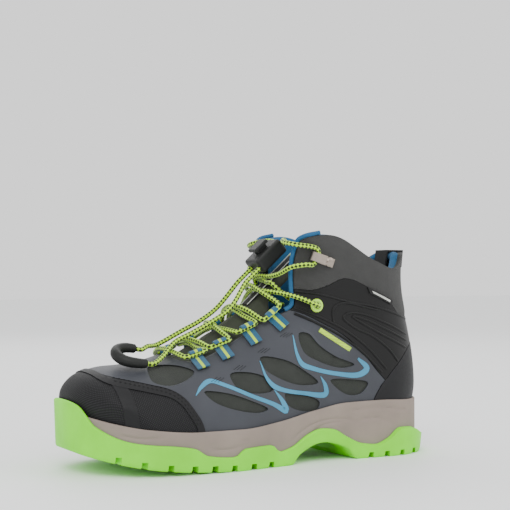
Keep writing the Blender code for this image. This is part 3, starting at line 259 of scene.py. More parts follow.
def instep_field(arcs, offsets):
    """Points of the foot form and their normals at arcs along the ridge and offsets across it."""
    base = front.at(arcs)
    along = front.direction(arcs)
    inward = np.stack([along[:, 1], -along[:, 0]], -1)
    side = np.where(offsets >= 0, 1.0, -1.0)
    low = np.zeros(len(arcs))
    high = np.full(len(arcs), SEARCH_DEPTH)
    for _ in range(SEARCH_HALVINGS):
        drop = (low + high) / 2
        place = base + inward * drop[:, None]
        outer, inner, _ = half_widths(place[:, 0], place[:, 1])
        narrow = np.where(side > 0, inner, outer) < np.abs(offsets)
        low = np.where(narrow, drop, low)
        high = np.where(narrow, high, drop)
    x, z = place.T
    normals = surface_normals(x, z, side)
    top = np.abs(offsets) < RIDGE_HALF
    normals[top] = np.stack([-inward[:, 0], 0 * x, -inward[:, 1]], -1)[top]
    return np.stack([x, ridge(x) + offsets, z], -1), normals


def instep(arc, offset, height):
    """Point above the instep: arc along the ridge, offset across it, height off the form."""
    points, normals = instep_field(np.array([arc]), np.array([offset]))
    return points[0] + normals[0] * height


# ---------------------------------------------------------------- materials
METAL_SPECULAR = 0.5
MATT_SPECULAR = 0.22
CLOTH_ROUGHNESS = 0.88
CLOTH_SHEEN = 0.06
DOT_PITCH = 1.7
BRAID_PITCH = 5.0
BRAID_STARTS = 2
WEBBING_PITCH = 0.8
LIME_THREAD = (0.50, 0.72, 0.03)
BLUE_THREAD = (0.02, 0.10, 0.18)
GUARD_BLACK = (0.010, 0.010, 0.011)


def graph(name, colour, roughness, metallic=0.0, sheen=0.0):
    """A new Principled material with its uniform numbers set on the shader itself."""
    made = bpy.data.materials.new(name)
    made.use_nodes = True
    shader = made.node_tree.nodes["Principled BSDF"]
    shader.inputs["Base Color"].default_value = (*colour, 1)
    shader.inputs["Roughness"].default_value = roughness
    shader.inputs["Metallic"].default_value = metallic
    shader.inputs["Sheen Weight"].default_value = sheen
    shader.inputs["Specular IOR Level"].default_value = METAL_SPECULAR if metallic else MATT_SPECULAR
    made.diffuse_color = (*colour, 1)
    return made, made.node_tree, shader


def node(tree, kind, **values):
    made = tree.nodes.new(kind)
    for key, value in values.items():
        if key in made.inputs:
            made.inputs[key].default_value = value
        else:
            setattr(made, key, value)
    return made


def scalar(tree, operation, first, second):
    """A Math node over sockets or numbers."""
    made = node(tree, "ShaderNodeMath", operation=operation)
    for socket, value in zip(made.inputs, (first, second)):
        if hasattr(value, "is_output"):
            tree.links.new(value, socket)
        else:
            socket.default_value = value
    return made.outputs[0]


def tint(tree, factor, dark, light, low=0.3, high=0.7):
    """Colour ramp from dark to light."""
    ramp = node(tree, "ShaderNodeValToRGB")
    ramp.color_ramp.elements[0].position = low
    ramp.color_ramp.elements[0].color = (*dark, 1)
    ramp.color_ramp.elements[1].position = high
    ramp.color_ramp.elements[1].color = (*light, 1)
    tree.links.new(factor, ramp.inputs[0])
    return ramp.outputs[0]


def bump(tree, shader, height, distance, strength=1.0):
    made = node(tree, "ShaderNodeBump", Strength=strength, Distance=distance)
    tree.links.new(height, made.inputs["Height"])
    tree.links.new(made.outputs[0], shader.inputs["Normal"])


def cloth_axes(tree):
    """Millimetre cloth coordinates: as one socket, then along and across."""
    place = node(tree, "ShaderNodeTexCoord").outputs["UV"]
    apart = node(tree, "ShaderNodeSeparateXYZ")
    tree.links.new(place, apart.inputs[0])
    return place, apart.outputs[0], apart.outputs[1]


def wave(tree, value, pitch):
    return scalar(tree, "SINE", scalar(tree, "MULTIPLY", value, 2 * math.pi / pitch), 0)


def from_half(tree, value):
    """Brings a value between -1 and 1 to between 0 and 1."""
    return scalar(tree, "ADD", scalar(tree, "MULTIPLY", value, 0.5), 0.5)


def cloth(name, colour, pitch, contrast=0.35, diagonal=False):
    """Woven cloth, or a knitted mesh whose threads run diagonally."""
    made, tree, shader = graph(name, colour, CLOTH_ROUGHNESS, sheen=CLOTH_SHEEN)
    place, one, two = cloth_axes(tree)
    if diagonal:
        one, two = scalar(tree, "ADD", one, two), scalar(tree, "SUBTRACT", one, two)
    thread = scalar(tree, "MULTIPLY", wave(tree, one, pitch), wave(tree, two, pitch))
    thread = from_half(tree, thread)
    noise = node(tree, "ShaderNodeTexNoise", Scale=0.12, Detail=5.0)
    tree.links.new(place, noise.inputs["Vector"])
    mixed = scalar(tree, "ADD", scalar(tree, "MULTIPLY", thread, 0.6),
                   scalar(tree, "MULTIPLY", noise.outputs["Fac"], 0.4))
    dark = [c * (1 - contrast) for c in colour]
    light = [min(1, c * (1 + contrast)) for c in colour]
    tree.links.new(tint(tree, mixed, dark, light, 0.2, 0.8), shader.inputs["Base Color"])
    bump(tree, shader, thread, 0.0002, 0.7)
    return made


def grained(name, colour, roughness, scale=900.0, depth=0.00008, metallic=0.0, edge_highlight=0.25):
    """Moulded rubber, plastic or foam: fine grain, soft blotches and a painted highlight on sharp
    edges.
    """
    made, tree, shader = graph(name, colour, roughness, metallic)
    place = node(tree, "ShaderNodeTexCoord").outputs["Object"]
    fine = node(tree, "ShaderNodeTexNoise", Scale=scale, Detail=4.0)
    broad = node(tree, "ShaderNodeTexNoise", Scale=38.0, Detail=3.0)
    for texture in (fine, broad):
        tree.links.new(place, texture.inputs["Vector"])
    dark = [c * 0.9 for c in colour]
    light = [min(1, c * 1.08) for c in colour]
    body = tint(tree, broad.outputs["Fac"], dark, light)
    # Painted highlight: sharp outward edges, found by pointiness, are lightened towards a paler copy
    # of the colour.
    if edge_highlight:
        point = node(tree, "ShaderNodeNewGeometry").outputs["Pointiness"]
        edge_highlight_mask = tint(tree, point, (0, 0, 0), (1, 1, 1), 0.53, 0.62)
        mix = node(tree, "ShaderNodeMix", data_type="RGBA")
        tree.links.new(scalar(tree, "MULTIPLY", edge_highlight_mask, edge_highlight), mix.inputs[0])
        tree.links.new(body, mix.inputs[6])
        mix.inputs[7].default_value = (*[min(1, c * 1.3 + 0.02) for c in colour], 1)
        body = mix.outputs[2]
    tree.links.new(body, shader.inputs["Base Color"])
    tree.links.new(tint(tree, fine.outputs["Fac"], [roughness - 0.06] * 3,
                        [roughness + 0.06] * 3), shader.inputs["Roughness"])
    bump(tree, shader, fine.outputs["Fac"], depth, 0.6)
    return made


def dotted(name, colour, roughness, pitch):
    """Rubber embossed with small square dots in rows, with painted highlights on the dots and painted
    shade between them.
    """
    made, tree, shader = graph(name, colour, roughness)
    _, along, across = cloth_axes(tree)
    dots = scalar(tree, "MULTIPLY", wave(tree, along, pitch), wave(tree, across, pitch))
    raised = tint(tree, dots, (0, 0, 0), (1, 1, 1), 0.15, 0.45)
    # Painted highlight and shade: the raised dots are lightened and the hollows between them darkened.
    tree.links.new(tint(tree, dots, [c * 0.6 for c in colour], [c * 2.4 for c in colour],
                        0.1, 0.6), shader.inputs["Base Color"])
    bump(tree, shader, raised, 0.0003, 0.9)
    return made


def braid():
    """Braided elastic: bright cover with a dark tracer that ticks along the cord."""
    made, tree, shader = graph("braided_elastic", (0.42, 0.66, 0.03), 0.7, sheen=0.3)
    _, length, turn = cloth_axes(tree)
    along = scalar(tree, "MULTIPLY", length, 2 * math.pi / BRAID_PITCH)
    around = scalar(tree, "MULTIPLY", turn, 2 * math.pi * BRAID_STARTS)
    one = scalar(tree, "SINE", scalar(tree, "ADD", along, around), 0)
    two = scalar(tree, "SINE", scalar(tree, "SUBTRACT", along, around), 0)
    tick = from_half(tree, scalar(tree, "MULTIPLY", one, two))
    tree.links.new(tint(tree, tick, (0.012, 0.022, 0.006), (0.46, 0.78, 0.02), 0.44, 0.52),
                   shader.inputs["Base Color"])
    bump(tree, shader, tick, 0.0002, 0.6)
    return made


def striped_webbing():
    """Blue webbing with one bright stripe down its middle."""
    made, tree, shader = graph("striped_webbing", BLUE_THREAD, 0.8, sheen=0.2)
    _, along, across = cloth_axes(tree)
    away = scalar(tree, "ABSOLUTE", across, 0)
    tree.links.new(tint(tree, away, LIME_THREAD, BLUE_THREAD, 0.95, 0.99),
                   shader.inputs["Base Color"])
    bump(tree, shader, wave(tree, along, WEBBING_PITCH), 0.0002, 0.6)
    return made


# Where a grained look gives a strength for its edges, that strength sets how much painted highlight
# its sharp edges get.
LOOKS = {
    "lime": grained("lime_sole_rubber", (0.20, 0.78, 0.008), 0.45, depth=0.00003, edge_highlight=0.08),
    "black_rubber": grained("black_sole_rubber", (0.02, 0.02, 0.02), 0.7),
    "foam": grained("taupe_foam_sole", (0.25, 0.205, 0.175), 0.72, scale=1400.0, edge_highlight=0.15),
    "mesh": cloth("olive_mesh", (0.030, 0.033, 0.029), 1.1, diagonal=True),
    "film": grained("grey_film", (0.046, 0.049, 0.058), 0.5, 1300.0, 0.00003, edge_highlight=0.2),
    "blue_print": grained("blue_print", (0.055, 0.24, 0.38), 0.5, 1300.0, 0.00003, edge_highlight=0),
    "guard": grained("toe_guard_rubber", GUARD_BLACK, 0.55, edge_highlight=0.35),
    "guard_dots": dotted("toe_guard_dots", GUARD_BLACK, 0.6, DOT_PITCH),
    "panel": grained("black_ankle_panel", (0.006, 0.006, 0.006), 0.42, scale=1100.0),
    "softshell": cloth("grey_softshell", (0.046, 0.046, 0.045), 0.8, contrast=0.2),
    "lining": cloth("blue_lining", (0.018, 0.095, 0.20), 1.2, diagonal=True),
    "binding": cloth("blue_binding_tape", (0.020, 0.10, 0.22), 0.7),
    "tongue": cloth("olive_tongue", (0.040, 0.045, 0.032), 0.9, contrast=0.25),
    "ribbon": cloth("black_ribbon_tape", (0.018, 0.018, 0.018), 0.6),
    "edge": cloth("pale_ribbon_edge", (0.55, 0.56, 0.52), 0.6),
    "lime_cloth": cloth("lime_ribbon_weave", (0.42, 0.66, 0.05), 1.6, contrast=0.6),
    "webbing": striped_webbing(),
    "eyelet": grained("lime_eyelet", (0.45, 0.78, 0.08), 0.35, depth=0.00002),
    "bronze": grained("bronze_hook", (0.32, 0.27, 0.23), 0.32, depth=0.00002, metallic=1.0),
    "braid": braid(),
    "lock": grained("lock_plastic_grain", (0.014, 0.015, 0.014), 0.5),
    "steel": grained("spring_wire", (0.6, 0.6, 0.6), 0.3, metallic=1.0, depth=0.00001),
    "board": cloth("board_cloth", (0.55, 0.53, 0.48), 1.4),
    "stitch_black": cloth("black_thread", (0.012, 0.012, 0.012), 0.4),
    "stitch_grey": cloth("grey_thread", (0.10, 0.10, 0.10), 0.4),
}


# ---------------------------------------------------------------- mesh helpers
CUT_REACH = 80                  # how far a cutter reaches to each side, past the boot
BOOT_MIDDLE = Vector((0, 0, 0.07))
SEAM_MERGE = 2e-5               # merge distances, in metres
TUBE_MERGE = 1e-7
PIPING_LIFT = 1.45
PIPING_RADIUS = 0.85
PIPING_PITCH = 1.6


def metres(points):
    return (np.asarray(points, float) - [ORIGIN[0], ORIGIN[1], 0]) * MM


def add_mesh(name, points, faces, look=None, cloth_uv=None):
    """Mesh object from millimetre points; cloth_uv gives each point's cloth coordinates."""
    mesh = bpy.data.meshes.new(name)
    mesh.from_pydata([tuple(p) for p in metres(points)], [], [list(map(int, f)) for f in faces])
    if cloth_uv is not None:
        layer_uv = mesh.uv_layers.new(name="cloth")
        corners = np.empty(len(mesh.loops), int)
        mesh.loops.foreach_get("vertex_index", corners)
        layer_uv.data.foreach_set("uv", np.asarray(cloth_uv, float)[corners].ravel())
    made = bpy.data.objects.new(name, mesh)
    bpy.context.scene.collection.objects.link(made)
    if look:
        mesh.materials.append(LOOKS[look])
    return made


def clean(made, merge=0.0):
    """Joins points closer than the merge distance and turns every face outwards."""
    bm = bmesh.new()
    bm.from_mesh(made.data)
    if merge:
        bmesh.ops.remove_doubles(bm, verts=bm.verts, dist=merge)
    bmesh.ops.recalc_face_normals(bm, faces=bm.faces)
    bm.to_mesh(made.data)
    bm.free()
    return made


def grid_faces(rows, width, start=0):
    """Quads over points laid out row after row."""
    faces = []
    for i in range(rows - 1):
        for j in range(width - 1):
            a = start + i * width + j
            faces.append([a, a + 1, a + width + 1, a + width])
    return faces


def slab_faces(rows, width):
    """Faces of a closed slab: one grid of points, a second one behind it, and the rim between."""
    count = rows * width
    faces = grid_faces(rows, width)
    faces += [[a, d, c, b] for a, b, c, d in grid_faces(rows, width, count)]
    rim = list(range(width)) + [i * width + width - 1 for i in range(1, rows)]
    rim += [(rows - 1) * width + j for j in range(width - 2, -1, -1)]
    rim += [i * width for i in range(rows - 2, 0, -1)]
    for a, b in zip(rim, rim[1:] + rim[:1]):
        faces.append([a, b, count + b, count + a])
    return faces


def evaluated_copy(made):
    """Applies the object's modifiers, so that no cutter is needed afterwards."""
    bpy.context.view_layer.update()
    graph_now = bpy.context.evaluated_depsgraph_get()
    mesh = bpy.data.meshes.new_from_object(made.evaluated_get(graph_now))
    made.modifiers.clear()
    made.data = mesh
    return made


def shade(made, angle=40):
    for face in made.data.polygons:
        face.use_smooth = True
    made.data.set_sharp_from_angle(angle=math.radians(angle))
    return made


def prism(outline, low, high):
    """Closed cutter: a side-view outline (x, z) pulled through the boot from side to side."""
    count = len(outline)
    points = [(x, low, z) for x, z in outline] + [(x, high, z) for x, z in outline]
    faces = [list(range(count)), list(range(2 * count - 1, count - 1, -1))]
    for i in range(count):
        j = (i + 1) % count
        faces.append([i, i + count, j + count, j])
    return clean(add_mesh("cutter", points, faces))


def trim(made, outlines, operation="DIFFERENCE", low=-CUT_REACH, high=CUT_REACH):
    """Cuts outlines out of a layer, or keeps only what is inside one, and applies it."""
    for outline in outlines:
        cutter = prism(outline, low, high)
        boolean = made.modifiers.new("trim", "BOOLEAN")
        boolean.object = cutter
        boolean.operation = operation
        boolean.solver = "MANIFOLD"
        evaluated_copy(made)
        bpy.data.objects.remove(cutter)
    return made


def layer(name, look, offset, thickness, relief=None, side=None):
    """Sheet of the foot form at an offset, with a thickness; relief(x, z) lifts it in places."""
    columns = {None: slice(None), -1: slice(SIDE_STEPS + 1), 1: slice(SIDE_STEPS, None)}[side]
    extra = 0 * grid_points[..., 2]
    if relief:
        extra = relief(grid_points[..., 0].ravel(), grid_points[..., 2].ravel())
        extra = extra.reshape(grid_points.shape[:2])
    points = grid_points + grid_normals * (offset + extra)[..., None]
    centre = ridge(points[..., 0])
    for half, limit in ((slice(SIDE_STEPS), np.minimum), (slice(SIDE_STEPS + 1, None), np.maximum)):
        points[:, half, 1] = limit(points[:, half, 1], centre[:, half])
    points = points[:, columns]
    cloth_uv = grid_cloth[:, columns]
    faces = grid_faces(*points.shape[:2])
    made = add_mesh(name, points.reshape(-1, 3), faces, look, cloth_uv.reshape(-1, 2))
    bm = bmesh.new()
    bm.from_mesh(made.data)
    bmesh.ops.remove_doubles(bm, verts=bm.verts, dist=SEAM_MERGE)
    outward = sum(f.normal.dot(f.calc_center_median() - BOOT_MIDDLE) for f in bm.faces)
    if outward < 0:
        bmesh.ops.reverse_faces(bm, faces=bm.faces)
    bm.to_mesh(made.data)
    bm.free()
    solid = made.modifiers.new("thickness", "SOLIDIFY")
    solid.thickness = thickness * MM
    solid.offset = 1
    return evaluated_copy(made)


def done(made, replaced=(), body="boot", angle=40):
    """Shades a finished piece, hangs it on its body and hides the CAD parts it stands for."""
    if made.type == "MESH":
        shade(made, angle)
    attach(made, body)
    if replaced:
        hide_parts(*replaced)
    return made


def tube_mesh(name, points, radius, look, sides=12):
    """Round tube along millimetre points, with cloth coordinates of arc length and turn."""
    p = np.asarray(points, float)
    radii = np.broadcast_to(radius, len(p))
    along = np.gradient(p, axis=0)
    along /= np.linalg.norm(along, axis=1, keepdims=True)
    arcs = np.concatenate([[0], np.cumsum(np.linalg.norm(np.diff(p, axis=0), axis=1))])
    across = np.cross(along[0], [0.3, 0.2, 0.9])
    across /= np.linalg.norm(across)
    out = []
    coords = []
    for k in range(len(p)):
        across = across - across.dot(along[k]) * along[k]
        across /= np.linalg.norm(across)
        up = np.cross(along[k], across)
        for s in range(sides + 1):
            angle = 2 * math.pi * s / sides
            out.append(p[k] + radii[k] * (math.cos(angle) * across + math.sin(angle) * up))
            coords.append((arcs[k], s / sides))
    faces = grid_faces(len(p), sides + 1)
    faces.append(list(range(sides))[::-1])
    last = (len(p) - 1) * (sides + 1)
    faces.append([last + s for s in range(sides)])
    return clean(add_mesh(name, out, faces, look, coords), TUBE_MERGE)


def outline_shift(outline, distance):
    p = np.asarray(outline, float)
    step = np.gradient(p, axis=0)
    step /= np.linalg.norm(step, axis=1, keepdims=True)
    moved = p + np.stack([-step[:, 1], step[:, 0]], -1) * distance
    gaps = np.linalg.norm(moved[:, None] - p, axis=-1).min(1)
    return moved[gaps >= abs(distance) * 0.97]


def distance_to(paths, x, z):
    """Distance in the side view from places to the nearest of several lines."""
    places = np.stack([x, z], -1)
    return np.min([path.nearest(places)[0] for path in paths], axis=0)


def groove(lines, width, depth):
    """Relief that sinks along side-view lines with a round bottom."""
    paths = [Line(line, 6) for line in lines]

    def value(x, z):
        return -depth * np.exp(-(distance_to(paths, x, z) / width) ** 2)

    return value


def stitches(name, line, side, look, offset, pitch=2.6, length=1.7, radius=0.22):
    """Row of short raised threads along a side-view line on one side of the upper."""
    path = Line(line, 10)
    points = []
    faces = []
    for arc in np.arange(pitch / 2, path.length, pitch):
        middle = path.at(arc)
        run = path.direction(arc)
        ends = []
        for step in (-0.5, 0, 0.5):
            x, z = middle + run * length * step
            lift = offset + (radius if step == 0 else 0)
            ends.append(side_point(x, z, side) + side_normal(x, z, side) * lift)
        normal = side_normal(*middle, side)
        across = np.cross(ends[2] - ends[0], normal)
        across /= np.linalg.norm(across)
        base = len(points)
        points += [ends[0], ends[1] + across * radius, ends[1] - across * radius,
                   ends[1] + normal * radius, ends[1] - normal * radius, ends[2]]
        for a, b in ((1, 3), (3, 2), (2, 4), (4, 1)):
            faces.append([base, base + a, base + b])
            faces.append([base + 5, base + b, base + a])
    made = add_mesh(name, points, faces, look)
    return done(made, angle=80)


def piping(name, line, side):
    """Raised cord moulded into the ankle panel along a side-view line."""
    path = Line(line, 8)
    points = []
    for arc in np.linspace(0, path.length, int(path.length / PIPING_PITCH)):
        x, z = path.at(arc)
        points.append(side_point(x, z, side) + side_normal(x, z, side) * PIPING_LIFT)
    made = tube_mesh(name, points, PIPING_RADIUS, "panel", sides=10)
    return done(made)


# ---------------------------------------------------------------- side-view lines of the upper
THROAT = [(-68, 74), (-60, 69.5), (-51, 69.5), (-34, 76.5), (-14, 87), (4, 97), (13, 100.5),
          (18, 104.5), (18.7, 115), (18.6, 128.5), (19.2, 138.6), (20.7, 146)]
COLLAR_TOP = [(21.5, 148), (25, 150), (35, 152.1), (44.5, 152), (52.6, 149.7), (63.4, 144),
              (74.4, 137.6), (84.8, 133.2), (95.2, 130.1), (102, 130.5), (107, 134.5), (111, 140),
              (116, 141.5), (130, 141.5)]
TOE_EDGE = [(-118, 74), (-114, 63), (-109, 60.5), (-99, 58.2), (-88, 55.7), (-77, 52.6),
            (-70, 47.7), (-64, 39), (-59.6, 31.4), (-57, 22), (-56, 10)]
ANKLE_LOW = [(8, 103), (20.5, 100.4), (36.3, 93.3), (52, 85.6), (67.6, 73.6), (80.3, 59.5),
             (87.2, 52.6)]
HEEL_TOP = [(87.2, 52.6), (92, 58), (99.9, 65), (106.2, 70.5), (114, 76), (135, 80)]
HEEL_FRONT = [(75, 10), (75.5, 28), (77.7, 38.9), (83.5, 48.3), (87.2, 52.6)]
COLLAR_LOW = [(8, 116), (21.1, 115.7), (29.4, 115), (40.3, 117.7), (53.8, 122.8), (63, 121.6),
              (73, 117.4), (85.4, 112), (95.6, 105), (103, 97.5), (110, 95.5), (135, 96)]
LINING_THROAT = [(-94, 76), (-86, 66), (-76, 61), (-60, 60.9), (-47, 63), (-30, 70), (-10, 80.5),
                 (7, 90.5), (17, 95), (23.5, 101), (24.2, 115), (24, 128.5), (24.7, 137.6)]


def opening(throat, drop):
    """Outline of everything in front of the throat and above the collar."""
    top = outline_shift(smooth(COLLAR_TOP, 5), -drop)
    top = top[top[:, 0] > throat[-1][0] + 0.5]
    edge = smooth(throat, 5).tolist() + top.tolist()
    start = [(edge[0][0] - 8, 190), (edge[0][0] - 8, edge[0][1] + 10)]
    return start + edge + [(150, COLLAR_TOP[-1][1] - drop), (150, 190)]


def below_floor(rise):
    xs = np.linspace(-150, 150, 61)
    return [(x, float(floor_height(x)) + rise) for x in xs] + [(150, -20), (-150, -20)]


# openings in the film that show the mesh, and the printed strokes, seen from the side
WINDOWS = [
    [(-86, 58), (-83, 65), (-72, 67), (-62, 66), (-57, 63), (-62, 59), (-76, 55)],
    [(-36, 61), (-22, 62), (-9, 57), (-6, 50), (-24, 49), (-34, 53)],
    [(-56, 51), (-42, 50), (-26, 45), (-10, 38), (-16, 36), (-36, 39), (-51, 45)],
    [(-12, 71), (6, 69), (20, 62), (32, 53), (17, 52), (-2, 58), (-11, 64)],
    [(19, 86), (26, 86), (34, 78), (47, 70), (62, 64), (52, 62), (33, 67), (21, 74)],
    [(42, 54), (59, 54), (73, 51), (67, 44), (55, 44)],
    [(4, 47), (17, 46), (33, 40), (31, 35), (17, 35), (6, 40)]]
# centre line with a half width at each point: (x, z, half width)
STROKES = [
    [(-62, 49, 0.2), (-57, 54, 1.0), (-50, 57.5, 1.3), (-42, 55, 1.2), (-24, 47.5, 1.2), (-6, 41, 1.4),
     (5, 36, 2.0), (2, 42, 1.6), (-5, 50, 0.2)],
    [(-13, 69, 0.2), (-11, 59, 1.0), (-6, 53, 1.6), (3, 49.5, 1.4), (20, 46.5, 1.3), (38, 45, 1.9),
     (38, 50, 1.6), (34, 57, 0.2)],
    [(14.5, 85, 0.2), (15.5, 73, 1.1), (19, 66, 1.7), (28, 62.5, 1.5), (46, 58.5, 1.4), (66, 57, 1.9),
     (72, 61, 2.2), (65, 68, 0.8)]]


def stroke_outline(stroke):
    """Side-view outline round a centre line with changing width."""
    path = smooth(stroke, 6)
    step = np.gradient(path[:, :2], axis=0)
    step /= np.linalg.norm(step, axis=1, keepdims=True)
    aside = np.stack([-step[:, 1], step[:, 0]], -1) * np.maximum(path[:, 2:], 0.15)
    left = path[:, :2] + aside
    right = path[:, :2] - aside
    return left.tolist() + right[::-1].tolist()


def puff_between(low_line, high_line, height, reach):
    """Relief of a padded area: full inside, sinking towards its two edge lines."""
    edges = [Line(low_line, 8), Line(high_line, 8)]

    def value(x, z):
        away = distance_to(edges, x, z)
        share = np.clip(away / reach, 0, 1)
        return height * np.sqrt(share * (2 - share))

    return value


# lines of the piping moulded into the ankle panels
EMBOSS = [
    [(20, 114), (36, 112), (58, 107), (81, 103), (112, 94)],
    [(109, 83), (88, 92), (71, 98), (58, 99), (54, 96), (63, 89), (77, 83), (90, 74), (98, 65)],
    [(108, 79), (87, 88), (73, 94), (61, 97), (71, 91), (87, 83), (107, 74)],
    [(18, 99), (32, 93), (51, 84), (70, 71), (84, 58)],
    [(18, 103), (34, 97), (54, 88), (73, 75), (88, 60)],
    [(46, 93), (46, 102), (52, 106), (82, 101)]]
TOE_BAR = [(-113, 64), (-105, 64), (-98, 20), (-106, 20)]
# layers of the upper: offset from the foot form, then thickness
MESH_LAYER = (-1.6, 1.6)
FILM_LAYER = (0.15, 1.0)
STROKE_LAYER = (1.1, 0.22)
GUARD_LAYER = (0.3, 1.0)
BAND_LAYER = (1.2, 0.7)
BAR_LAYER = (1.2, 0.6)
PANEL_LAYER = (0.3, 1.3)
COLLAR_LAYER = (-0.6, 1.5)
LINING_LAYER = (-8.0, 1.4)
HEEL_LAYER = (0.5, 1.3)
STAY_LAYER = (1.6, 1.1)
TAG_LAYER = (1.9, 0.7)
TAG_BAR_LAYER = (2.5, 0.25)
MARK_LAYER = (1.15, 0.3)
BAND_WIDTH = 4.6
GUARD_RISE = 2.5                # the toe guard ends this far above the floor line
MESH_RISE = -0.2
LINING_RISE = 5.0
LINING_DROP = 3.0               # the lining ends this far below the collar's top
PUFF_HEIGHT = 1.5
PUFF_REACH = 9.0
# seams: distance from the edge line, then height off the foot form
COLLAR_SEAM = (1.8, 1.3)
TOE_SEAMS = (("toe_stitch", -1.4, 1.9), ("toe_stitch_inner", -3.3, 1.9))


def build_upper():
    mouth = opening(THROAT, 0.0)
    wide_mouth = opening(LINING_THROAT, LINING_DROP)
    toe_edge = smooth(TOE_EDGE, 4)
    collar_low = smooth(COLLAR_LOW, 4)
    heel_top = smooth(HEEL_TOP, 4)

    mesh = layer("upper_mesh", "mesh", *MESH_LAYER)
    trim(mesh, [below_floor(MESH_RISE), mouth])
    done(mesh, ["upper_shell"])

    toe_side = outline_shift(toe_edge, GAP).tolist()
    rear_side = outline_shift(smooth(HEEL_FRONT[:-1], 4), GAP).tolist()
    ankle_side = outline_shift(smooth(ANKLE_LOW, 4), -GAP).tolist()[::-1]
    film = layer("quarter_film", "film", *FILM_LAYER)
    trim(film, [toe_side + rear_side + ankle_side + [(8, 130), (-90, 130)]], "INTERSECT")
    trim(film, [mouth] + [smooth(window, 5, closed=True).tolist() for window in WINDOWS])
    done(film, ["quarter_overlay"])

    for index, stroke in enumerate(STROKES):
        for side, label in SIDES.items():
            stroke_name = f"blue_stroke_{index + 1}_{label}"
            printed = layer(stroke_name, "blue_print", *STROKE_LAYER, side=side)
            trim(printed, [stroke_outline(stroke)], "INTERSECT")
            done(printed)

    toe_zone = toe_edge.tolist() + [(-160, 10), (-160, 80)]
    band_zone = toe_edge.tolist() + outline_shift(toe_edge, -BAND_WIDTH).tolist()[::-1]
    for name, look, sizes, zones, stands_for in (
            ("toe_guard", "guard_dots", GUARD_LAYER, [toe_zone], ["toe_cap"]),
            ("toe_guard_band", "guard", BAND_LAYER, [band_zone], []),
            ("toe_guard_bar", "guard", BAR_LAYER, [TOE_BAR, toe_zone], [])):
        guard = layer(name, look, *sizes)
        trim(guard, zones, "INTERSECT")
        trim(guard, [below_floor(GUARD_RISE)])
        done(guard, stands_for)

    panel_zone = (smooth(ANKLE_LOW, 4).tolist() + heel_top.tolist()[1:]
                  + outline_shift(collar_low, -GAP).tolist()[::-1])
    for side, label in SIDES.items():
        panel = layer(f"ankle_guard_{label}", "panel", *PANEL_LAYER, side=side)
        trim(panel, [panel_zone], "INTERSECT")
        trim(panel, [mouth])
        done(panel, [f"ankle_panel_{label}"])
        for index, line in enumerate(EMBOSS):
            piping(f"ankle_piping_{label}_{index + 1}", line, side)

    soft = puff_between(COLLAR_LOW, COLLAR_TOP, PUFF_HEIGHT, PUFF_REACH)
    collar = layer("softshell_collar", "softshell", *COLLAR_LAYER, relief=soft)
    trim(collar, [collar_low.tolist() + [(135, 190), (0, 190)]], "INTERSECT")
    trim(collar, [mouth])
    done(collar, ["collar", "collar_foam"])

    lining = layer("padded_lining", "lining", *LINING_LAYER)
    trim(lining, [below_floor(LINING_RISE), wide_mouth])
    done(lining, ["collar_lining"])

    heel = layer("heel_guard", "guard", *HEEL_LAYER)
    heel_zone = smooth(HEEL_FRONT, 4).tolist() + outline_shift(heel_top, -GAP).tolist()[1:]
    trim(heel, [heel_zone + [(140, 10)]], "INTERSECT")
    done(heel, ["heel_cap"])

    collar_seam = smooth(COLLAR_LOW[1:9], 4)
    toe_seam = smooth(TOE_EDGE[2:9], 4)
    away, lift = COLLAR_SEAM
    for side, label in SIDES.items():
        line = outline_shift(collar_seam, away)
        stitches(f"collar_stitch_{label}", line, side, "stitch_grey", lift)
        for name, shift, height in TOE_SEAMS:
            stitches(f"{name}_{label}", outline_shift(toe_seam, shift), side, "stitch_black", height)


ROLL_RADIUS = 3.4
ROLL_DROP = 3.2
ROLL_INSET = 3.3
ROLL_SPAN = (23, 115.6)


def build_collar_roll():
    """Rounded blue edge along the collar's top, over the top of the foam."""
    top = outline_shift(smooth(COLLAR_TOP, 12), -ROLL_DROP)
    top = top[(top[:, 0] > ROLL_SPAN[0]) & (top[:, 0] < ROLL_SPAN[1])]
    halves = []
    for side in SIDES:
        halves.append([side_point(x, z, side) - side_normal(x, z, side) * ROLL_INSET
                       for x, z in top[::3]])
    path = Line(halves[0] + halves[1][::-1], 6)
    points = path.at(np.linspace(0, path.length, 170))
    roll = tube_mesh("collar_roll", points, ROLL_RADIUS, "lining", sides=18)
    done(roll)


# ---------------------------------------------------------------- soles
SOLE_TOP = pchip([(-128, 38), (-112, 33), (-95, 29.5), (-60, 26.5), (-30, 26.5), (0, 29.5),
                  (30, 35), (55, 38.5), (85, 39), (110, 38), (130, 38)])
SOLE_BOTTOM = pchip([(-136, 21), (-128, 14), (-115, 9.5), (-100, 6), (-80, 3), (-60, 1.3),
                     (-40, 0.3), (-30, 0), (8, 0), (14, 6), (34, 13), (54, 8), (62, 0),
                     (118, 0), (134, 6)])
LIME_TOP = pchip([(-136, 50), (-127, 44), (-120, 31), (-102, 21.5), (-76, 18.4), (-66, 16.5),
                  (-57, 11.5), (-38, 9.6), (-31, 14.2), (-10, 14.9), (-3, 10), (8, 12.5),
                  (20, 19), (32, 22.5), (42, 21.5), (54, 15.5), (66, 10.5), (77, 9.2), (87, 12.7),
                  (97, 19.5), (107, 19), (118, 14), (130, 12)])
SOLE_FLARE = pchip([(-130, 4.5), (-100, 4), (-40, 4), (30, 4.5), (100, 6), (130, 8)])
PLATE_THICK = 6.0
WALL = 1.2
CUP_INNER = 1.6 + GAP + 0.2
RING_STEPS = 280


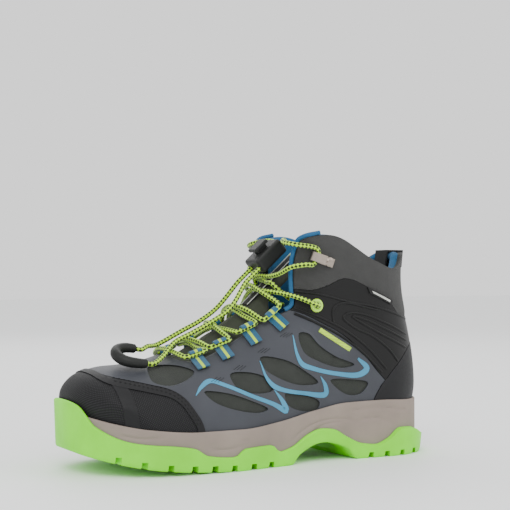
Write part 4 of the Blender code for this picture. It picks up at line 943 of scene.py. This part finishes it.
def ring(level, out):
    """Closed plan outline at a height profile, moved outwards from the foot form."""
    angles = np.arange(RING_STEPS) * 2 * math.pi / RING_STEPS
    toe = front.points[:60]
    heel = back.points[:60]
    start = np.interp(float(SOLE_TOP(-126)), toe[:, 1], toe[:, 0])
    end = np.interp(float(SOLE_TOP(126)), heel[:, 1], heel[:, 0])
    x = (start + end) / 2 + (end - start) / 2 * np.cos(angles)
    outer, inner, middle = half_widths(x, SOLE_TOP(x))
    y = np.where(np.sin(angles) < 0, middle - outer, middle + inner)
    tips = np.abs(np.cos(angles)) > 0.9999
    y[tips] = middle[tips]
    plan = np.stack([x, y], -1)
    along = np.roll(plan, -1, 0) - np.roll(plan, 1, 0)
    normal = np.stack([along[:, 1], -along[:, 0]], -1)
    normal /= np.linalg.norm(normal, axis=1)[:, None]
    height = level(x)
    distance = out(x, height) if callable(out) else out
    plan = plan + normal * (np.zeros(len(x)) + distance)[:, None]
    return np.concatenate([plan, height[:, None]], 1)


def loft(name, rings, look):
    """Closed shape through a stack of rings, capped at both ends."""
    points = np.concatenate(rings)
    count = len(rings[0])
    faces = []
    for k in range(len(rings) - 1):
        for i in range(count):
            j = (i + 1) % count
            faces.append([k * count + i, k * count + j, (k + 1) * count + j, (k + 1) * count + i])
    for base in (0, (len(rings) - 1) * count):
        faces.append([base, base + 1, base + count - 1])
        for i in range(1, count // 2 - 1):
            faces.append([base + i, base + i + 1, base + count - i - 1, base + count - i])
        i = count // 2 - 1
        faces.append([base + i, base + i + 1, base + i + 2])
    return clean(add_mesh(name, points, faces, look))


def raised(profile, rise):
    return lambda x: profile(x) + rise


def between(low, high, share):
    """Height profile part of the way from a low one to a high one."""
    return lambda x: low(x) * (1 - share) + high(x) * share


def plate_top(x):
    return np.minimum(SOLE_BOTTOM(x) + PLATE_THICK, LIME_TOP(x) - 1.0)


def wall_top(drop, least):
    """Profile under the lime edge by a drop, but at least this far above the tread."""
    return lambda x: np.maximum(LIME_TOP(x) - drop, SOLE_BOTTOM(x) + least)


# ovals and lines carved into the foam side, (x, z) in the side view
CARVED = [
    [(-108, 26), (-98, 24), (-89, 24.5)],
    [(-56, 20), (-54, 16), (-44, 14.5), (-33, 16.5), (-30, 20)],
    [(10, 18), (24, 25), (40, 28), (58, 27)],
    [(20, 17), (34, 24.5), (48, 26)],
    [(62, 24), (70, 27), (84, 26), (90, 22)],
    [(60, 33), (80, 34), (104, 31)]]
LUG_GROOVES = [(-112, 3), (-98, 3.5), (-82, 3.5), (-66, 4), (-52, 4), (-38, 3.5), (-23, 4),
               (-9, 3.5), (73, 3.5), (86, 3.5), (99, 3.5), (112, 3.5), (125, 3)]
LUG_DEPTH = 4.0
LUG_LENGTH = 26.0
LUG_FLARE = 0.6                 # a groove is this much wider at the ground, each side
WAIST = [(16, -5), (16, 30), (58, 30), (58, -5)]
WAIST_HALF = 18
BOARD_DROP = 2.2
CARVE_WIDTH = 0.8
CARVE_DEPTH = 0.55
RIB_PITCH = 5.2
RIB_DEPTH = 0.35
RIB_START = -96                 # the bumper's ribs fade in over a short way from here forward
RIB_FADE = 8


def ribs(x):
    """Upright ribs on the toe bumper."""
    share = np.clip((RIB_START - x) / RIB_FADE, 0, 1)
    return -RIB_DEPTH * share * (0.5 - 0.5 * np.cos(2 * math.pi * x / RIB_PITCH)) ** 3


def flare(shift):
    """Distance outwards at the outsole's side."""
    return lambda x, z: SOLE_FLARE(x) + shift + ribs(x)


def build_soles():
    cup_outer = CUP_INNER + WALL
    wall_inner = cup_outer + GAP
    carved = groove(CARVED, CARVE_WIDTH, CARVE_DEPTH)

    def foam_side(x, z):
        return cup_outer + carved(x, z)

    low = raised(plate_top, GAP)
    high = raised(SOLE_TOP, -0.8)
    rings = [ring(low, cup_outer)]
    rings += [ring(between(low, high, share), foam_side) for share in np.linspace(0.02, 1, 26)]
    rings += [ring(raised(SOLE_TOP, -0.25), cup_outer - 0.2), ring(SOLE_TOP, cup_outer - 0.7),
              ring(SOLE_TOP, CUP_INNER), ring(raised(floor_height, -BOARD_DROP - GAP), CUP_INNER)]
    done(loft("carved_midsole", rings, "foam"), ["midsole"], angle=35)

    low = raised(SOLE_BOTTOM, 2.0)
    high = wall_top(1.0, 3.0)
    rings = [ring(SOLE_BOTTOM, flare(-1.0)), ring(raised(SOLE_BOTTOM, 0.6), flare(-0.4)),
             ring(low, flare(0.0))]
    for share in np.linspace(0.15, 1, 8):
        rings.append(ring(between(low, high, share), flare(share * (wall_inner - 2.6))))
    rings += [ring(wall_top(0.3, 3.4), wall_inner + WALL + 0.1),
              ring(LIME_TOP, wall_inner + WALL - 0.5), ring(LIME_TOP, wall_inner),
              ring(plate_top, wall_inner)]
    sole = loft("lugged_outsole", rings, "lime")
    for x, width in LUG_GROOVES:
        height = LUG_DEPTH + float(SOLE_BOTTOM(x))
        half = width / 2
        box = [(x - half - LUG_FLARE, -1), (x - half, height), (x + half, height),
               (x + half + LUG_FLARE, -1)]
        for side, edge in ((-1, outer_side), (1, inner_side)):
            reach = abs(float(edge(x))) + 12
            trim(sole, [box], "DIFFERENCE", *sorted((side * (reach - LUG_LENGTH), side * (reach + 6))))
    trim(sole, [WAIST], "DIFFERENCE", -WAIST_HALF, WAIST_HALF)
    done(sole, ["outsole"], angle=35)


# ---------------------------------------------------------------- tongue
TONGUE_START = 89.0
TONGUE_BEND = 158.0
TONGUE_END = 238.0
TONGUE_PITCH = math.radians(42)
TONGUE_DEPTH = 2.8
tongue_half = pchip([(89, 16), (95, 21), (150, 24), (165, 21), (176, 13), (238, 13)])
ROLL_PITCH = 17.0               # distance between the tongue's sewn cross channels
TONGUE_THICK = 2.9
TAPE_START = 162.0
TAPE_HALF = 5.5
TAPE_EDGE = 4.9
WEAVE_START = 212
WEAVE_HALF = 3.9


def tongue_places(arcs, offsets, heights):
    """Points above the tongue's face: arcs along it, offsets across it."""
    arcs, offsets, heights = (np.asarray(values, float) for values in (arcs, offsets, heights))
    beyond = np.maximum(0.0, arcs - TONGUE_BEND)
    base, normals = instep_field(np.minimum(arcs, TONGUE_BEND), offsets)
    away = np.array([math.cos(TONGUE_PITCH), 0, math.sin(TONGUE_PITCH)])
    return base + normals * (heights - TONGUE_DEPTH)[:, None] + beyond[:, None] * away


def tongue_place(arc, offset, height):
    return tongue_places([arc], [offset], [height])[0]


def tongue_sheet(name, look, arcs, half, steps, face, depth):
    """Closed padded slab on the tongue: face(arc, share) is its height, depth its thickness."""
    coords = []
    heights = []
    rims = []
    for arc in arcs:
        for share in np.linspace(-1, 1, steps):
            coords.append((arc, share * float(half(arc))))
            heights.append(face(arc, share))
            rims.append(depth * 0.5 * (1 - math.sqrt(max(0.0, 1 - abs(share) ** 6))))
    place_arcs, offsets = np.array(coords).T
    heights = np.array(heights)
    rims = np.array(rims)
    top = tongue_places(place_arcs, offsets, heights - rims).tolist()
    low = tongue_places(place_arcs, offsets, heights - depth + rims - 0.05).tolist()
    faces = slab_faces(len(arcs), steps)
    return clean(add_mesh(name, top + low, faces, look, coords + coords))


def build_tongue():
    arcs = np.concatenate([np.linspace(TONGUE_START, TONGUE_BEND, 62),
                           np.linspace(TONGUE_BEND, TONGUE_END, 64)[1:]])

    def face(arc, share):
        """Padded rolls between sewn channels across the tongue, full in the middle."""
        phase = abs(math.sin(math.pi * arc / ROLL_PITCH))
        return -1.3 + 1.1 * phase ** 0.6 * (1 - share ** 4)

    tongue = tongue_sheet("padded_tongue", "tongue", arcs, tongue_half, 25, face, TONGUE_THICK)
    done(tongue, ["tongue"], angle=70)
    backing = tongue_sheet("tongue_backing", "lining", arcs[2:], lambda a: tongue_half(a) - 2, 13,
                           lambda arc, share: -4.3, 1.0)
    done(backing, ["tongue_lining"], angle=70)

    tape_arcs = np.linspace(TAPE_START, TONGUE_END - 1, 60)
    tape = tongue_sheet("tongue_tape", "ribbon", tape_arcs, lambda a: TAPE_HALF, 7,
                        lambda arc, share: 0.75, 0.5)
    done(tape, ["tongue_ribbon"], angle=70)
    for side, label in SIDES.items():
        rim = [tongue_place(arc, side * TAPE_EDGE, 0.95) for arc in tape_arcs]
        done(tube_mesh(f"tape_edge_{label}", rim, 0.35, "edge", sides=6))
    weave_arcs = np.linspace(WEAVE_START, TONGUE_END - 1.5, 24)
    weave = tongue_sheet("tape_weave", "lime_cloth", weave_arcs, lambda a: WEAVE_HALF, 7,
                         lambda arc, share: 1.0, 0.2)
    done(weave, angle=70)


# ---------------------------------------------------------------- lacing
CORD_RADIUS = 1.6
LOOP_PLACES = [(-51, 69.5), (-34, 76.5), (-14, 87), (4, 97)]
LOOP_HEIGHT = 5.2
LOOP_WIDTH = 8.6
LOOP_LENGTH = 12.0
LOOP_HOLE = 2.1
LOOP_BEND = 4.0
WEB = 1.0
EYELET_PLACE = (33.2, 104.5)
HOOK_PLACE = (34.2, 136.4)
HOOK_FORWARD = (-14.0, 4.2)
HOOK_LIFT = 2.35
HOOK_METAL = 0.9
HOOK_BEND = 4.6
LOCK_CENTRE = (11.1, 0.0, 138.4)
LOCK_STRAND = 6.0
LOCK_STRAND_DROP = -1.0
LOCK_TRAVEL = 10.0
LOCK_LENGTH = 24.0
GRIP_ROUTE = [(-84, 4, 76.7), (-91, 4, 77.6), (-98, 1, 76.6), (-101, -5, 73.8), (-98, -11, 70.5),
              (-91, -14.5, 68.8), (-84, -15.5, 68.2)]
TAIL_INNER = [(86, 0, 12), (100, 3, 12), (116, 6, 10.5), (133, 7, 9.5), (148, 7.5, 10)]
TAIL_OUTER = [(87, -17, 8), (101, -10, 11.3), (116, -8, 10.5), (133, -7.5, 9.5), (148, -7.5, 10)]
HOOK_LEAD = [(20.5, 9.5, 149.0), (15.0, 17.0, 148.5), (12.5, 25.0, 147.0), (16.0, 32.5, 145.5)]
HOOK_LEAVE = [(22.0, 36.0, 132.0), (14.5, 30.5, 130.5), (11.5, 18.0, 125.9)]
MIDDLE_ARC = 184.0
MIDDLE_HEIGHT = 2.95
MIDDLE_SLANT = 0.2
MIDDLE_HALF = 7
EYELET_LEAD = [(9.0, -11.0, 120.0), (11.8, -15.0, 116.0), (20.5, -15.8, 109.5), (28.0, -15.0, 105.6)]
EYELET_REACH = (-12, -8, 3, 5.5)        # stops along the eyelet's axis, from inside to outside
EYELET_LEAVE = [(28.0, -36.5, 106.0), (20.0, -33.0, 109.5), (12.5, -24.5, 112.5)]
# arc past the top loop, offset across, height above the crossings
EYELET_CROSS = [(12, 10, 1.7), (10.5, 0, 1.4), (9, -12, 1.2)]
CROSS_LOW = 2.2                 # crossing height of the lace's first half
CROSS_HIGH = 5.8                # and of its second half
CROSS_SHARES = (0.22, 0.5, 0.78)
CROSS_RISE = 0.8                # a crossing lace stands this much higher at its ends
SECOND_LIFT = 3.6               # the second half passes over the first on its way to the eyelet
LOOP_HALF_RUN = 5.1
TOE_TURN = [(96.5, -13, 7.2), (96, 0, 7.0), (96.5, 11, 7.2)]
HOOK_HALF_TURN = 5.0


def instep_address(point):
    """Arc and offset of a point of the foot form."""
    _, arc = front.nearest(np.array([[point[0], point[2]]]))
    return float(arc[0]), float(point[1] - ridge(point[0]))


def frame_matrix(origin, u, v):
    """Frame at an origin, with u along its first axis and v towards its second."""
    u = Vector(u).normalized()
    v = (Vector(v) - Vector(v).dot(u) * u).normalized()
    w = u.cross(v)
    matrix = Matrix((u, v, w)).transposed().to_4x4()
    matrix.translation = Vector(metres([origin])[0])
    return matrix


def loop_frame(place, side):
    """A lace loop's centre, its direction down the upper, its normal and its arc and offset."""
    point = side_point(*place, side)
    arc, offset = instep_address(point)
    centre = instep(arc, offset, LOOP_HEIGHT)
    run = instep(arc + 2, offset, LOOP_HEIGHT) - instep(arc - 2, offset, LOOP_HEIGHT)
    normal = side_normal(*place, side)
    down = np.cross(run, normal) * side
    if down[2] > 0:
        down = -down
    return centre, down, normal, arc, offset


def hook_point(side, u, v):
    """Point of the hook's profile: u forward along the plate, v off the upper."""
    normal = side_normal(*HOOK_PLACE, side)
    origin = side_point(*HOOK_PLACE, side) + normal * HOOK_LIFT
    forward = Vector((HOOK_FORWARD[0], 0, HOOK_FORWARD[1]))
    matrix = frame_matrix(origin, forward - forward.dot(Vector(normal)) * Vector(normal), normal)
    return np.array(matrix @ Vector((u * MM, v * MM, 0))) / MM + np.array([ORIGIN[0], ORIGIN[1], 0])


def lock_place(along, across, up):
    c = math.cos(TONGUE_PITCH)
    s = math.sin(TONGUE_PITCH)
    return np.array(LOCK_CENTRE) + np.array([c * along - s * up, across, s * along + c * up])


def lock_run(side):
    end = LOCK_LENGTH / 2
    stops = [-end - LOCK_TRAVEL - 4, -end - LOCK_TRAVEL - 1, -end, 0, end + 1, end + 3]
    return [lock_place(stop, side * LOCK_STRAND, LOCK_STRAND_DROP) for stop in stops]


def tail(side):
    route = TAIL_INNER if side > 0 else TAIL_OUTER
    return [tongue_place(*place) for place in route] + lock_run(side)


def flip(places, side):
    return [np.array([x, side * y, z]) for x, y, z in places]


def hook_to_eyelet(side, lift):
    normal = side_normal(*HOOK_PLACE, side)
    bend = hook_point(side, HOOK_BEND - 0.4, HOOK_METAL + 2.1)
    run = np.cross(normal, [HOOK_FORWARD[0], 0, HOOK_FORWARD[1]])
    run /= np.linalg.norm(run)
    if run[2] < 0:
        run = -run
    middle = [tongue_place(MIDDLE_ARC + MIDDLE_SLANT * across, side * across, MIDDLE_HEIGHT + lift)
              for across in (MIDDLE_HALF, 0, -MIDDLE_HALF)]
    eyelet = side_point(*EYELET_PLACE, -side)
    out = side_normal(*EYELET_PLACE, -side)
    through = [eyelet + out * reach for reach in EYELET_REACH]
    turn = [bend + run * HOOK_HALF_TURN, bend - run * HOOK_HALF_TURN]
    return (flip(HOOK_LEAD, side) + turn + flip(HOOK_LEAVE, side) + middle
            + flip(EYELET_LEAD, side) + through)


def loop_pass(place, side):
    _, _, _, arc, offset = loop_frame(place, side)
    steps = (LOOP_HALF_RUN + 1.5, LOOP_HALF_RUN - 0.5, 0.5 - LOOP_HALF_RUN, -LOOP_HALF_RUN - 1.5)
    return [instep(arc + step, offset, LOOP_HEIGHT) for step in steps]


def crossing(upper, upper_side, lower, height):
    _, _, _, arc_a, offset_a = loop_frame(upper, upper_side)
    _, _, _, arc_b, offset_b = loop_frame(lower, -upper_side)
    start = arc_a - LOOP_HALF_RUN - 1.5
    end = arc_b + LOOP_HALF_RUN + 1.5
    places = []
    for share in CROSS_SHARES:
        arc = start + (end - start) * share
        offset = offset_a + (offset_b - offset_a) * share
        rise = height if share == 0.5 else height + CROSS_RISE
        places.append(tongue_place(arc, offset, rise))
    return places


def eyelet_to_bottom(side, height):
    _, _, _, arc, _ = loop_frame(LOOP_PLACES[3], -side)
    places = flip(EYELET_LEAVE, -side)
    places += [tongue_place(arc + ahead, side * across, height + rise)
               for ahead, across, rise in EYELET_CROSS]
    at = -side
    for index in (3, 2, 1, 0):
        places += loop_pass(LOOP_PLACES[index], at)
        if index:
            places += crossing(LOOP_PLACES[index], at, LOOP_PLACES[index - 1], height)
            at = -at
    return places


def lace_route():
    """The whole lace: from one tail round to the toe end and back to the other tail."""
    bar = [tongue_place(*place) for place in TOE_TURN]
    first = tail(1) + hook_to_eyelet(1, 0.0) + eyelet_to_bottom(-1, CROSS_LOW)
    second = tail(-1) + hook_to_eyelet(-1, SECOND_LIFT) + eyelet_to_bottom(1, CROSS_HIGH)
    return first + bar + second[::-1]


def grip_ends(which):
    points = smooth(GRIP_ROUTE, 2)
    outward = points[0] - points[1] if which == 0 else points[-1] - points[-2]
    outward /= np.linalg.norm(outward)
    return [points[which] + outward * reach for reach in (GAP, 4.0)]


def build_lace():
    route = smooth(grip_ends(0) + lace_route() + grip_ends(-1)[::-1], 12)
    path = Line(route, 1)
    points = path.at(np.linspace(0, path.length, int(path.length / 1.4)))
    lace = tube_mesh("elastic_lace", points, CORD_RADIUS, "braid", sides=12)
    done(lace, ["lace"], angle=80)
    world = metres(points)
    tuple(world[0])


def build_grip():
    path = Line(smooth(GRIP_ROUTE, 2), 10)
    share = np.linspace(0, 1, 60)
    points = path.at(share * path.length)
    radii = 2.7 + 0.9 * np.sin(math.pi * share) ** 0.5
    radii[0] = radii[-1] = 2.2
    done(tube_mesh("moulded_grip", points, radii, "lock", sides=20), ["lace_grip"])


def build_loops():
    """Folded webbing with a bright stripe, from its eye down to its sewn tail."""
    turns = np.radians(np.linspace(60, 270, 22))
    eye = [(LOOP_HOLE * math.cos(turn), LOOP_HOLE * math.sin(turn)) for turn in turns]
    inner = eye + [(LOOP_BEND, -LOOP_HOLE), (LOOP_LENGTH, -LOOP_HOLE)]
    grow = (LOOP_HOLE + WEB) / LOOP_HOLE
    outer = [(u * grow, v * grow) for u, v in eye]
    outer += [(LOOP_BEND, -LOOP_HOLE - WEB), (LOOP_LENGTH, -LOOP_HOLE - WEB)]
    spans = np.linspace(-LOOP_WIDTH / 2, LOOP_WIDTH / 2, 13)
    lengths = np.linalg.norm(np.diff(np.array(outer), axis=0), axis=1)
    arcs = np.concatenate([[0], np.cumsum(lengths)])
    faces = slab_faces(len(outer), len(spans))
    for side, label in SIDES.items():
        for index, place in enumerate(LOOP_PLACES):
            centre, down, normal, _, _ = loop_frame(place, side)
            u = down / np.linalg.norm(down)
            v = normal - normal.dot(u) * u
            v /= np.linalg.norm(v)
            w = np.cross(u, v)
            points = []
            coords = []
            for profile in (outer, inner):
                for k, (a, b) in enumerate(profile):
                    for span in spans:
                        points.append(centre + u * a + v * b + w * span)
                        coords.append((arcs[k], span))
            made = add_mesh(f"webbing_loop_{label}_{index + 1}", points, faces, "webbing", coords)
            done(clean(made), [f"lace_loop_{label}_{index + 1}"], angle=50)
            build_bartack(index, place, side)


def build_bartack(index, place, side):
    """Short dense stitches that hold the loop's tail under the film."""
    for row in range(3):
        line = [(place[0] + 1.5 + 2.0 * row, place[1] - 13.5 - row * 0.2),
                (place[0] + 7.0 + 2.0 * row, place[1] - 10.5 - row * 0.2)]
        stitches(f"bartack_{SIDES[side]}_{index + 1}_{row + 1}", line, side, "stitch_black",
                 1.25, pitch=1.2, length=1.0, radius=0.25)


# ---------------------------------------------------------------- trims and kept CAD parts
TAPE_RADIUS = 1.3
STAY_ZONE = [(90, 84), (140, 84), (140, 119), (90, 119)]
STAY_HALF = 6.5
TAG_ZONE = [(73.5, 117), (75.5, 112.5), (94.5, 104.7), (96.3, 107.3)]
TAG_BAR_ZONE = [(77, 114.2), (78, 112.6), (93, 106.2), (93.4, 107.6)]
MARK_ZONE = [(34, 87), (36, 89.5), (60, 75.5), (58, 73)]


def build_trims():
    edge = outline_shift(THROAT[6:] + COLLAR_TOP[:3], TAPE_RADIUS + GAP)
    for side, label in SIDES.items():
        places = [(x, side_point(max(x, 13.0) + 2.0, z, side)[1], z) for x, z in edge]
        path = Line(places)
        points = path.at(np.linspace(0, path.length, 60))
        tape = tube_mesh(f"flap_tape_{label}", points, TAPE_RADIUS + 0.25, "binding", sides=14)
        done(tape, [f"flap_binding_{label}"])
    stay = layer("heel_stay", "panel", *STAY_LAYER)
    trim(stay, [STAY_ZONE], "INTERSECT", -STAY_HALF, STAY_HALF)
    done(stay, ["back_stay"])
    tag = layer("blank_side_tag", "ribbon", *TAG_LAYER, side=-1)
    trim(tag, [TAG_ZONE], "INTERSECT")
    done(tag, ["side_tag"])
    bar = layer("side_tag_bar", "edge", *TAG_BAR_LAYER, side=-1)
    trim(bar, [TAG_BAR_ZONE], "INTERSECT")
    done(bar)
    for side, label in SIDES.items():
        mark = layer(f"side_mark_{label}", "lime_cloth", *MARK_LAYER, side=side)
        trim(mark, [MARK_ZONE], "INTERSECT")
        done(mark)


KEPT_LOOKS = {"outsole_centre": "black_rubber", "shank": "black_rubber", "strobel_board": "board",
              "insole": "lining", "heel_counter": "board", "toe_puff": "board",
              "cord_lock_body": "lock", "cord_lock_button": "lock", "cord_lock_spring": "steel",
              "heel_pull_tab": "ribbon", "eyelet_outer": "eyelet", "eyelet_inner": "eyelet",
              "hook_outer": "bronze", "hook_inner": "bronze", "hook_rivet_outer": "bronze",
              "hook_rivet_inner": "bronze"}
ROUNDED = {"cord_lock_body": 0.25, "cord_lock_button": 0.25, "heel_pull_tab": 0.25,
           "hook_outer": 0.42, "hook_inner": 0.42}


def keep_cad_parts():
    """These parts keep their CAD shape, some with rounded edges, and get a finished material."""
    for name, look in KEPT_LOOKS.items():
        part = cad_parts[name]
        part.data.materials.clear()
        part.data.materials.append(LOOKS[look])
    for name, width in ROUNDED.items():
        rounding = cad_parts[name].modifiers.new("rounding", "BEVEL")
        rounding.width = width * MM
        rounding.segments = 3
        rounding.limit_method = "ANGLE"


# ---------------------------------------------------------------- stage
CAMERA_FROM = (-397.5, -749.4, 123.4)
CAMERA_TARGET = (0, 0, 70)
LENS = 87.388
SENSOR = 36.0
AIM_TURN = math.radians(-0.162)
AIM_TILT = math.radians(4.6457)
FLOOR_HALF = 6.0


def build_camera():
    """Camera without roll, looking past its target by two angles."""
    data = bpy.data.cameras.new("camera")
    data.sensor_width = SENSOR
    data.lens = LENS
    made = bpy.data.objects.new("camera", data)
    bpy.context.scene.collection.objects.link(made)
    place = Vector(CAMERA_FROM) * MM
    ahead = Vector(metres([CAMERA_TARGET])[0]) - place
    heading = math.atan2(ahead.y, ahead.x) + AIM_TURN
    pitch = math.atan2(ahead.z, math.hypot(ahead.x, ahead.y)) + AIM_TILT
    level = math.cos(pitch)
    look = Vector((math.cos(heading) * level, math.sin(heading) * level, math.sin(pitch)))
    made.location = place
    made.rotation_mode = "QUATERNION"
    made.rotation_quaternion = look.to_track_quat("-Z", "Y")
    data.clip_start = 0.01
    data.clip_end = 20
    bpy.context.scene.camera = made


def area_light(name, place, size, power):
    data = bpy.data.lights.new(name, "AREA")
    data.size = size
    data.energy = power
    made = bpy.data.objects.new(name, data)
    made.location = place
    made.rotation_mode = "QUATERNION"
    made.rotation_quaternion = (Vector((0, 0, 0.06)) - Vector(place)).to_track_quat("-Z", "Y")
    bpy.context.scene.collection.objects.link(made)


def build_stage():
    mesh = bpy.data.meshes.new("studio_floor")
    corners = [(x * FLOOR_HALF, y * FLOOR_HALF, 0) for x, y in ((-1, -1), (1, -1), (1, 1), (-1, 1))]
    mesh.from_pydata(corners, [], [(0, 1, 2, 3)])
    ground = bpy.data.objects.new("studio_floor", mesh)
    bpy.context.scene.collection.objects.link(ground)
    paper, _, _ = graph("floor_paper", (0.93, 0.94, 0.94), 0.55)
    mesh.materials.append(paper)
    world = bpy.data.worlds.new("studio")
    world.use_nodes = True
    background = world.node_tree.nodes["Background"]
    background.inputs[0].default_value = (1.0, 1.0, 1.0, 1)
    background.inputs[1].default_value = 1.3
    bpy.context.scene.world = world
    area_light("key", (-0.7, -1.0, 1.3), 1.0, 14)
    area_light("fill", (1.0, -0.9, 0.9), 1.2, 6)
    area_light("rim", (0.3, 1.2, 1.1), 1.0, 6)


build_camera()
build_lace()
build_upper()
build_collar_roll()
build_soles()
build_tongue()
build_grip()
build_loops()
build_trims()
keep_cad_parts()
build_stage()
